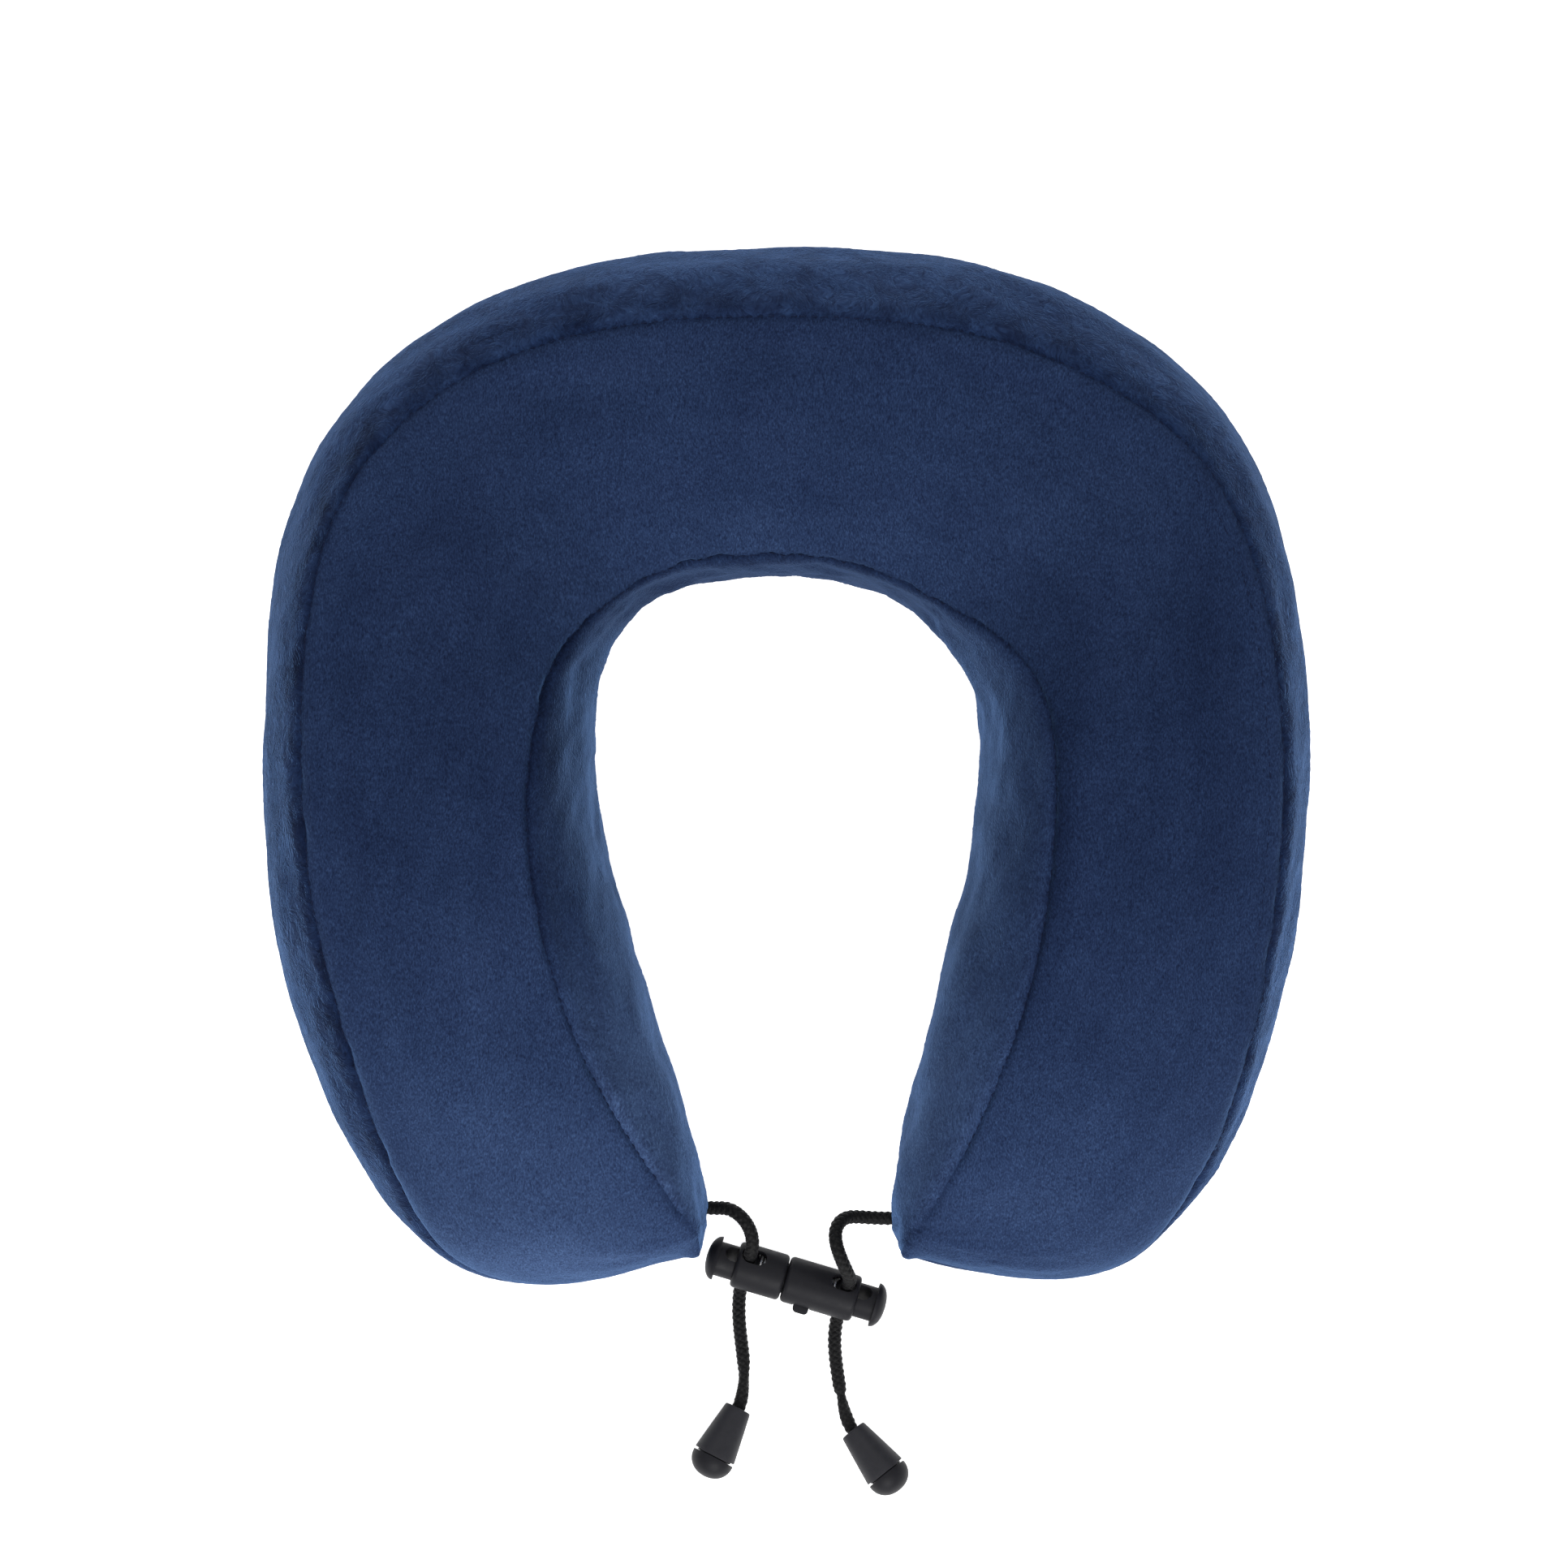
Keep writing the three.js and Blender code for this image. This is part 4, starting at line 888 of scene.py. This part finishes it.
LEFT_TAIL = [[-12.87, -151.75, 4.66], [-13.29, -154, 3.12], [-13.58, -156.63, 2.36], [-13.71, -159.35, 2.15], [-13.68, -162.07, 2.15], [-13.53, -164.77, 2.18], [-13.27, -167.46, 2.24], [-12.95, -170.15, 2.33], [-12.62, -172.84, 2.46], [-12.36, -175.53, 2.63], [-12.23, -178.23, 2.84], [-12.24, -180.92, 3.09], [-12.45, -183.61, 3.38], [-12.89, -186.28, 3.71], [-13.68, -188.86, 4.08]]
RIGHT_TAIL = [[16, -160.3, 4.66], [15.45, -162.42, 3.16], [14.98, -164.92, 2.39], [14.71, -167.51, 2.15], [14.64, -170.13, 2.15], [14.75, -172.73, 2.18], [14.99, -175.32, 2.24], [15.31, -177.89, 2.34], [15.68, -180.46, 2.47], [16.09, -183.03, 2.64], [16.54, -185.58, 2.85], [17.06, -188.13, 3.1], [17.69, -190.65, 3.38], [18.53, -193.1, 3.71], [19.69, -195.41, 4.08]]
LEFT_BELL = (np.array([-13.9, -189.3, 4.15]), np.array([-21.3, -203.8, 6.5]))
RIGHT_BELL = (np.array([20.0, -195.8, 4.15]), np.array([29.9, -208.3, 6.5]))


def dense(points, step=0.16):
    P = np.array(points, float)
    k = np.linspace(0, len(P) - 1, 900)
    Q = spline(P, k)
    arc = np.r_[0, np.cumsum(np.linalg.norm(np.diff(Q, axis=0), axis=1))]
    n = max(20, int(arc[-1] / step))
    s = np.linspace(0, arc[-1], n)
    return np.c_[[np.interp(s, arc, Q[:, j]) for j in range(3)]].T, arc[-1]


def braid(A, S):
    """Diamond braid: four strands each way round, passing over and under in turn."""
    k, pitch = 4, 1.9
    u, v = (k * A / (2 * math.pi) + S / pitch), (k * A / (2 * math.pi) - S / pitch)
    i, j = np.floor(u), np.floor(v)
    a, b = u - i - 0.5, v - j - 0.5
    over = (i + j) % 2 == 0
    prof = lambda q, r: np.sqrt(np.clip(1 - (2 * q) ** 2, 0, 1)) * (0.55 + 0.45 * np.cos(math.pi * r))
    return -0.36 + 0.42 * np.where(over, prof(a, b), prof(b, a))


def flattened(start, most, turn, pinch=None):
    """Braid that goes flat past the share `start` of its length and twists on to its bell."""
    def relief(A, S):
        total = S.max()
        f = np.clip((S / total - start) / 0.12, 0, 1)
        f = f * f * (3 - 2 * f)
        angle = turn * math.pi * np.clip((S / total - start) / (0.94 - start), 0, 1)
        out = braid(A, S) * (1 - 0.25 * f) - most * 2.0 * f * np.sin(A - angle) ** 2
        if pinch:
            out = out - 0.5 * np.exp(-((S / total - pinch) / 0.03) ** 2)
        return out
    return relief


def bell_axis(bell):
    a = bell[1] - bell[0]
    return a / np.linalg.norm(a)


cords = {}
for name, relief, route in (
        ("cord_upper_left", braid, LEFT_UPPER + [on_axis(LEFT_S, 5), on_axis(LEFT_S, 0), on_axis(LEFT_S, -6.8)]),
        ("cord_upper_right", braid, RIGHT_UPPER + [on_axis(RIGHT_S, 5), on_axis(RIGHT_S, 0), on_axis(RIGHT_S, -6.8)]),
        ("cord_tail_left", flattened(0.5, 0.22, 1.3), [on_axis(LEFT_S, -7.5)] + LEFT_TAIL + [LEFT_BELL[0] + bell_axis(LEFT_BELL) * d for d in (2, 7)]),
        ("cord_tail_right", flattened(0.52, 0.2, 1.6, 0.6), [on_axis(RIGHT_S, -7.5)] + RIGHT_TAIL + [RIGHT_BELL[0] + bell_axis(RIGHT_BELL) * d for d in (2, 7)])):
    path, length = dense([list(map(float, p)) for p in route])
    drawn = path
    if name.startswith("cord_upper"):  # the sewn-in end runs on into the cover
        back = path[0] - path[6]
        drawn = np.r_[path[:1] + back / np.linalg.norm(back) * np.array([[1.6], [1.2], [0.8], [0.4]]), path]
    cords[name] = (tube(name, drawn, 2.0, sides=48, relief=relief), path, length)
    print(name, "length %.1f mm" % length)


# ---------------------------------------------------------------- bells
def aimed(bell):
    x = bell_axis(bell)
    y = np.cross([0, 0, 1], x)
    y /= np.linalg.norm(y)
    z = np.cross(x, y)
    p = bell[0] * MM
    return Matrix(((x[0], y[0], z[0], p[0]), (x[1], y[1], z[1], p[1]), (x[2], y[2], z[2], p[2]), (0, 0, 0, 1)))


BL, R0, R1 = 16.1, 3.9, 6.35
bells = {}
for side, bell in (("left", LEFT_BELL), ("right", RIGHT_BELL)):
    body = side + "_tail"
    m = aimed(bell)
    outline = [(0.35, 2.45), (0, 2.9), (0, R0 + 0.05), (BL * 0.5, R0 + (R1 - R0) * 0.55), (BL - 1.2, R1 - 0.05), (BL - 0.2, R1 - 0.02), (BL - 0.2, 5), (8, 4.3), (6.4, 2.45)]
    prof = fillet(outline, [0, 0.3, 1.15, 2, 0.6, 0.18, 0, 0, 0], 7)
    o = lathe("bell_" + side, prof + [prof[0]][:0], 64, close=False)
    # two moulding notches at the parting line
    for sign in (-1, 1):
        carve(o, cube("n", BL - 0.75, BL + 0.5, min(sign * 5.1, sign * 7), max(sign * 5.1, sign * 7), -4, 4))
    black.append(own(tidy(o, 0, matrix=m), body, [side + "_bell"]))
    dome = [(BL - 2, 0), (BL - 2, 4.5), (BL + 0.1, 4.6), (BL + 0.1, R1)]
    dome += [(BL + 0.1 + 0.5 + 5.6 * math.sin(a), (R1 + 0.02) * math.cos(a) ** 0.92) for a in np.linspace(0.02, math.pi / 2 - 0.02, 18)]
    dome += [(BL + 6.25, 0)]
    o = lathe("bell_cap_" + side, dome, 64)
    black.append(own(tidy(o, 0, matrix=m), body, [side + "_bell_cap"]))
    bells[side] = (o, body)

# cords: the left upper cord rides on the pillow, the other three stay baked in place, and the CAD cords are hidden
lu, ru, lt, rt = (cords[k] for k in ("cord_upper_left", "cord_upper_right", "cord_tail_left", "cord_tail_right"))
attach(lu[0], "pillow")
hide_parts("left_upper_cord")
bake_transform(ru[0])
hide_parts("right_upper_cord")
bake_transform(lt[0])
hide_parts("left_tail_cord")
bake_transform(rt[0])
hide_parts("right_tail_cord")


def declare(c):
    path = c[1][:: 6]
    path = np.r_[path, c[1][-1:]] if not np.allclose(path[-1], c[1][-1]) else path


declare(lu)
declare(ru)
declare(lt)
declare(rt)

# ---------------------------------------------------------------- zip teeth
def zip_row(name, side, node):
    verts, faces = [], []
    pitch = 1.9
    n = int(152 / pitch)
    for i in range(n):
        x = -75.5 + pitch * (i + (0.5 if side > 0 else 0.0))
        # one coil turn: a rounded loop reaching over the middle
        path = []
        for a in np.linspace(-0.6, 2 * math.pi - 0.6, 15):
            y = side * (1.05 + 0.82 * math.cos(a + math.pi))
            z = 4.7 + 0.47 * math.sin(a)
            path.append((x + 0.14 * a / math.pi * pitch * 0.5, 100 + y, z))
        t = tube_arrays(np.array(path), 0.4, 8)
        base = len(verts)
        verts += list(t[0])
        faces += [tuple(base + k for k in f) for f in t[1]]
    o = make_mesh(name, np.array(verts) * MM, faces)
    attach(o, "pillow")
    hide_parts(node)
    return o


def tube_arrays(P, r, sides):
    T = np.gradient(P, axis=0)
    T /= np.linalg.norm(T, axis=1, keepdims=True)
    X = np.cross(T, [1.0, 0, 0.01])
    X /= np.linalg.norm(X, axis=1, keepdims=True)
    Y = np.cross(T, X)
    ang = np.linspace(0, 2 * math.pi, sides + 1)[:-1]
    V = P[:, None] + r * (np.cos(ang)[None, :, None] * X[:, None] + np.sin(ang)[None, :, None] * Y[:, None])
    M, N = V.shape[:2]
    f = [(m * N + j, m * N + (j + 1) % N, (m + 1) * N + (j + 1) % N, (m + 1) * N + j) for m in range(M - 1) for j in range(N)]
    f += [tuple(range(N))[::-1], tuple((M - 1) * N + j for j in range(N))]
    return V.reshape(-1, 3), f


coils = [zip_row("zip_teeth_back", 1, "zip_coil_back"), zip_row("zip_teeth_front", -1, "zip_coil_front")]
for node, w in (("zip_slider", 0.35), ("zip_pull", 0.22), ("zip_stop_left", 0.35), ("zip_stop_right", 0.35)):
    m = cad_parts[node].modifiers.new("bevel", "BEVEL")
    m.width, m.segments, m.limit_method = w * MM, 3, "ANGLE"


# ---------------------------------------------------------------- materials
def srgb(r, g, b):
    f = lambda c: c / 12.92 if c <= 0.04045 else ((c + 0.055) / 1.055) ** 2.4
    return tuple(f(c / 255) for c in (r, g, b)) + (1.0,)


class Nodes:
    def __init__(self, name):
        self.mat = bpy.data.materials.new(name)
        self.mat.use_nodes = True
        self.t = self.mat.node_tree
        self.t.nodes.clear()
        self.out = self.t.nodes.new("ShaderNodeOutputMaterial")
        self.bsdf = self.t.nodes.new("ShaderNodeBsdfPrincipled")
        self.t.links.new(self.bsdf.outputs[0], self.out.inputs["Surface"])

    def new(self, kind, **props):
        n = self.t.nodes.new(kind)
        for k, v in props.items():
            setattr(n, k, v)
        return n

    def link(self, a, b):
        self.t.links.new(a, b)

    def coords(self, which="Object", scale=(1, 1, 1), rotation=(0, 0, 0)):
        tc = self.new("ShaderNodeTexCoord")
        mp = self.new("ShaderNodeMapping")
        mp.inputs["Scale"].default_value = scale
        mp.inputs["Rotation"].default_value = rotation
        self.link(tc.outputs[which], mp.inputs["Vector"])
        return mp.outputs[0]

    def noise(self, vec, scale, detail=2, rough=0.5, distortion=0.0):
        n = self.new("ShaderNodeTexNoise")
        n.inputs["Scale"].default_value = scale
        n.inputs["Detail"].default_value = detail
        n.inputs["Roughness"].default_value = rough
        n.inputs["Distortion"].default_value = distortion
        self.link(vec, n.inputs["Vector"])
        return n.outputs["Fac"]

    def ramp(self, fac, stops):
        n = self.new("ShaderNodeValToRGB")
        while len(n.color_ramp.elements) < len(stops):
            n.color_ramp.elements.new(0.5)
        for el, (p, c) in zip(n.color_ramp.elements, stops):
            el.position = p
            el.color = c if len(c) == 4 else (*c, 1)
        self.link(fac, n.inputs["Fac"])
        return n.outputs["Color"]

    def maps(self, fac, a, b, c, d):
        n = self.new("ShaderNodeMapRange")
        for i, v in zip(("From Min", "From Max", "To Min", "To Max"), (a, b, c, d)):
            n.inputs[i].default_value = v
        self.link(fac, n.inputs["Value"])
        return n.outputs["Result"]

    def math(self, op, a, b):
        n = self.new("ShaderNodeMath", operation=op)
        for i, v in enumerate((a, b)):
            if isinstance(v, (int, float)):
                n.inputs[i].default_value = v
            else:
                self.link(v, n.inputs[i])
        return n.outputs[0]

    def mix(self, fac, a, b, blend="MIX"):
        n = self.new("ShaderNodeMix", data_type="RGBA", blend_type=blend)
        for key, v in ((0, fac), (6, a), (7, b)):
            if isinstance(v, (int, float)):
                n.inputs[key].default_value = v
            elif isinstance(v, tuple):
                n.inputs[key].default_value = v
            else:
                self.link(v, n.inputs[key])
        return n.outputs[2]

    def bump(self, height, distance, strength=1.0, normal=None):
        n = self.new("ShaderNodeBump")
        n.inputs["Distance"].default_value = distance
        n.inputs["Strength"].default_value = strength
        self.link(height, n.inputs["Height"])
        if normal is not None:
            self.link(normal, n.inputs["Normal"])
        return n.outputs[0]

    def set(self, **k):
        for key, v in k.items():
            sock = self.bsdf.inputs[key.replace("_", " ")]
            if isinstance(v, (int, float, tuple)):
                sock.default_value = v
            else:
                self.link(v, sock)


def plush(name, size=1.0, mottled=0.0, sheen=0.5, fuzz=0.3, tint=(118, 164, 226), cool=0.0, contrast=1.0):
    """Short pile: fine leaning tufts with darker gaps between, softly mottled where it is matted."""
    m = Nodes(name)
    obj = m.coords("Object")
    # the lean of the pile wanders slowly, so the streaks do too
    warp = m.new("ShaderNodeTexNoise")
    warp.inputs["Scale"].default_value = 14 + 60 * mottled
    warp.inputs["Detail"].default_value = 2
    m.link(obj, warp.inputs["Vector"])
    shift = m.new("ShaderNodeVectorMath", operation="SCALE")
    m.link(warp.outputs["Color"], shift.inputs[0])
    shift.inputs["Scale"].default_value = 0.012 + 0.004 * mottled
    add = m.new("ShaderNodeVectorMath", operation="ADD")
    m.link(obj, add.inputs[0])
    m.link(shift.outputs[0], add.inputs[1])
    mp = m.new("ShaderNodeMapping")
    mp.inputs["Scale"].default_value = (1, 0.44 + 0.24 * mottled, 0.5)
    m.link(add.outputs[0], mp.inputs["Vector"])
    nap = mp.outputs[0]
    tuft = m.noise(nap, 2700 / size, 2, 0.55, 0.3 + 0.6 * mottled)
    clump = m.noise(nap, 900 / size, 2, 0.55, 0.4 + 0.8 * mottled)
    patch = m.noise(obj, 34 + 60 * mottled, 3, 0.62, 0.8)
    # the painted light and shade from the mesh attribute multiplies the base colour, bluer where it darkens and greyer
    # where it lightens
    painted_light_shade = m.new("ShaderNodeAttribute", attribute_name="painted_light_shade").outputs["Fac"]
    flat = lambda v, middle: middle + contrast * (v - middle)
    c = lambda r, g, b: srgb(flat(r, 29) * (1.02 - 0.10 * cool), flat(g, 44) * (0.99 + 0.05 * cool), flat(b, 76) * (0.965 + 0.12 * cool))
    base = m.ramp(tuft, [(0.26, c(14, 22, 45)), (0.43, c(24, 37, 66)), (0.57, c(32, 48, 81)), (0.76, c(45, 66, 104))])
    base = m.mix(0.15 + 0.30 * mottled, base, m.ramp(clump, [(0.32, c(15, 24, 48)), (0.50, c(29, 44, 75)), (0.70, c(40, 60, 96))]))
    base = m.mix(m.maps(patch, 0.42, 0.68, 0.0, 0.10 + 0.55 * mottled), base, c(15, 23, 47))
    painted_light_hue = m.new("ShaderNodeCombineXYZ")
    for i, power in enumerate((1.18, 1.06, 0.86)):
        m.link(m.math("POWER", painted_light_shade, power), painted_light_hue.inputs[i])
    painted_tone = m.new("ShaderNodeVectorMath", operation="MULTIPLY")
    m.link(base, painted_tone.inputs[0])
    m.link(painted_light_hue.outputs[0], painted_tone.inputs[1])
    height = m.math("ADD", m.math("MULTIPLY", tuft, 0.6), m.math("MULTIPLY", clump, 0.45 + 0.3 * mottled))
    n0 = m.bump(patch, 0.0008, 0.25 + 0.5 * mottled)
    n1 = m.bump(height, 0.00030 + 0.00045 * mottled, 0.9, n0)
    m.set(Base_Color=painted_tone.outputs[0], Roughness=m.maps(tuft, 0.3, 0.7, 0.98, 0.84), Normal=n1)
    m.set(Sheen_Weight=sheen, Sheen_Roughness=fuzz, Sheen_Tint=srgb(*tint), Specular_IOR_Level=0.06)
    return m.mat


def plastic(name, base=(33, 33, 37), rough=0.5, gloss=0.13):
    m = Nodes(name)
    obj = m.coords("Object")
    grain = m.noise(obj, 5200, 2, 0.5)
    scuff = m.noise(obj, 420, 4, 0.7, 0.5)
    c = m.ramp(scuff, [(0.3, srgb(*[int(x * 0.9) for x in base])), (0.62, srgb(*base)), (0.85, srgb(*[int(x * 1.18) for x in base]))])
    m.set(Base_Color=c, Roughness=m.maps(scuff, 0.3, 0.75, rough - 0.07, rough + 0.12), Normal=m.bump(grain, 0.00004, 0.5), Specular_IOR_Level=gloss)
    return m.mat


def cord_cloth(name):
    m = Nodes(name)
    uv = m.coords("UV")
    strand = m.noise(m.coords("UV", scale=(1, 3.0, 1), rotation=(0, 0, 0.7)), 1400, 2, 0.6)
    fine = m.noise(uv, 5200, 2, 0.6)
    c = m.ramp(strand, [(0.3, srgb(5, 5, 6)), (0.55, srgb(13, 13, 14)), (0.8, srgb(30, 30, 32))])
    h = m.math("ADD", m.math("MULTIPLY", strand, 0.6), m.math("MULTIPLY", fine, 0.4))
    m.set(Base_Color=c, Roughness=m.maps(fine, 0.3, 0.7, 0.7, 0.45), Normal=m.bump(h, 0.00016, 0.8))
    m.set(Sheen_Weight=0.05, Sheen_Roughness=0.5, Sheen_Tint=(0.6, 0.6, 0.65, 1), Specular_IOR_Level=0.14)
    return m.mat


def steel(name, base=(196, 198, 202), rough=0.22, metal=1.0):
    m = Nodes(name)
    obj = m.coords("Object")
    line = m.noise(obj, 2600, 3, 0.6)
    c = m.ramp(line, [(0.3, srgb(*[int(x * 0.82) for x in base])), (0.7, srgb(*base))])
    m.set(Base_Color=c, Metallic=metal, Roughness=m.maps(line, 0.3, 0.7, rough, rough + 0.14), Normal=m.bump(line, 0.00002, 0.4))
    return m.mat


def tape_cloth(name):
    m = Nodes(name)
    obj = m.coords("Object")
    w1 = m.new("ShaderNodeTexWave", wave_type="BANDS", bands_direction="X")
    w1.inputs["Scale"].default_value = 420
    w1.inputs["Distortion"].default_value = 0.6
    m.link(obj, w1.inputs["Vector"])
    w2 = m.new("ShaderNodeTexWave", wave_type="BANDS", bands_direction="Y")
    w2.inputs["Scale"].default_value = 420
    w2.inputs["Distortion"].default_value = 0.6
    m.link(obj, w2.inputs["Vector"])
    h = m.math("MULTIPLY", w1.outputs["Fac"], w2.outputs["Fac"])
    c = m.ramp(h, [(0.0, srgb(16, 20, 38)), (1.0, srgb(38, 46, 76))])
    m.set(Base_Color=c, Roughness=0.9, Normal=m.bump(h, 0.0001, 0.7), Sheen_Weight=0.2)
    return m.mat


def foam(name):
    m = Nodes(name)
    obj = m.coords("Object")
    v = m.new("ShaderNodeTexVoronoi")
    v.inputs["Scale"].default_value = 900
    m.link(obj, v.inputs["Vector"])
    c = m.ramp(v.outputs["Distance"], [(0.0, srgb(168, 158, 134)), (0.5, srgb(222, 214, 192))])
    m.set(Base_Color=c, Roughness=0.95, Normal=m.bump(v.outputs["Distance"], 0.0003, 0.6), Subsurface_Weight=0.1)
    return m.mat


def thread(name):
    m = Nodes(name)
    obj = m.coords("Object")
    n = m.noise(obj, 3800, 2, 0.6)
    c = m.ramp(n, [(0.3, srgb(12, 17, 36)), (0.7, srgb(22, 31, 60))])
    m.set(Base_Color=c, Roughness=0.85, Normal=m.bump(n, 0.00005, 0.5), Specular_IOR_Level=0.1)
    return m.mat


def paint(obj, mat):
    obj.data.materials.clear()
    obj.data.materials.append(mat)


PLUSH = plush("plush_navy_top", 1.08, 0.0, 0.55, 0.36, contrast=0.9)
WALL = plush("plush_navy_wall", 1.8, 1.0, 0.54, 0.3, (112, 156, 218), 0.3)
NECK_WALL = plush("plush_navy_neck", 1.25, 0.3, 0.55, 0.32, (112, 156, 218), 0.0)
for panel, mat in (("top", PLUSH), ("outer", WALL), ("inner", NECK_WALL)):
    paint(plush_pieces[panel], mat)
a = plush_bottom.data.attributes.new("painted_light_shade", "FLOAT", "POINT")
a.data.foreach_set("value", np.full(len(plush_bottom.data.vertices), 1.0, np.float32))
paint(plush_bottom, NECK_WALL)
# the bells get a lighter copy of the black plastic, painted light on their sides; the caps keep the plain black
BLACK, BELL_PAINTED_LIGHTER, CORD, STEEL, TAPE, FOAM, THREAD = plastic("plastic_black", (26, 26, 30)), plastic("plastic_black_painted_lighter", (41, 41, 45), 0.5, 0.15), cord_cloth("cord_black"), steel("steel_wire", (250, 250, 252), 0.24, 0.85), tape_cloth("zip_tape_cloth"), foam("foam_open_cell"), thread("thread_navy")
ENAMEL, NYLON = steel("zip_enamel", (60, 62, 70), 0.35, 0.85), plastic("coil_nylon", (30, 34, 56), 0.5)
for o in stitches:
    paint(o, THREAD)
for o in black:
    # bells painted lighter than the other black plastic
    paint(o, BELL_PAINTED_LIGHTER if o.name in ("bell_left", "bell_right") else BLACK)
for o in springs:
    paint(o, STEEL)
for c in cords.values():
    paint(c[0], CORD)
for o in coils:
    paint(o, NYLON)
paint(foam_block, FOAM)
paint(guard, TAPE)
for node, mat in (("zip_tape_back", TAPE), ("zip_tape_front", TAPE), ("zip_stop_left", ENAMEL), ("zip_stop_right", ENAMEL),
                  ("zip_slider", ENAMEL), ("zip_pull", ENAMEL), ("left_cord_knot", CORD), ("right_cord_knot", CORD)):
    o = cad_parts[node]
    for sl in o.material_slots:
        sl.material = mat
    if not o.material_slots:
        o.data.materials.append(mat)

# ---------------------------------------------------------------- floor and light
floor = make_mesh("floor", [(-3, -3, -0.0004), (3, -3, -0.0004), (3, 3, -0.0004), (-3, 3, -0.0004)], [(0, 1, 2, 3)], smooth=False)
fm = Nodes("floor_white")
fm.set(Base_Color=(0.9, 0.9, 0.9, 1), Roughness=0.95, Specular_IOR_Level=0.1, Emission_Color=(1, 1, 1, 1), Emission_Strength=0.75)
paint(floor, fm.mat)
floor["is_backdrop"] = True

world = bpy.data.worlds.new("studio")
bpy.context.scene.world = world
world.use_nodes = True
bg = world.node_tree.nodes["Background"]
bg.inputs["Color"].default_value = (1, 1, 1, 1)
bg.inputs["Strength"].default_value = 0.66


def area(name, loc, target, size, power):
    d = bpy.data.lights.new(name, "AREA")
    d.shape, d.size, d.energy = "SQUARE", size, power
    o = bpy.data.objects.new(name, d)
    bpy.context.scene.collection.objects.link(o)
    o.location = loc
    o.rotation_euler = (Vector(target) - Vector(loc)).to_track_quat("-Z", "Y").to_euler()
    return o


area("key", (0.1, -1.25, 1.15), (0, -0.04, 0.05), 0.8, 22)
area("back", (-0.3, 1.0, 1.3), (0, 0, 0.05), 1.0, 6)
bpy.context.scene.view_settings.view_transform = "Standard"
bpy.context.scene.view_settings.look = "None"

{"cad": [list(map(float, c)) for c in CAD_BOX], "visual": [list(map(float, c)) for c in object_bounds()]}
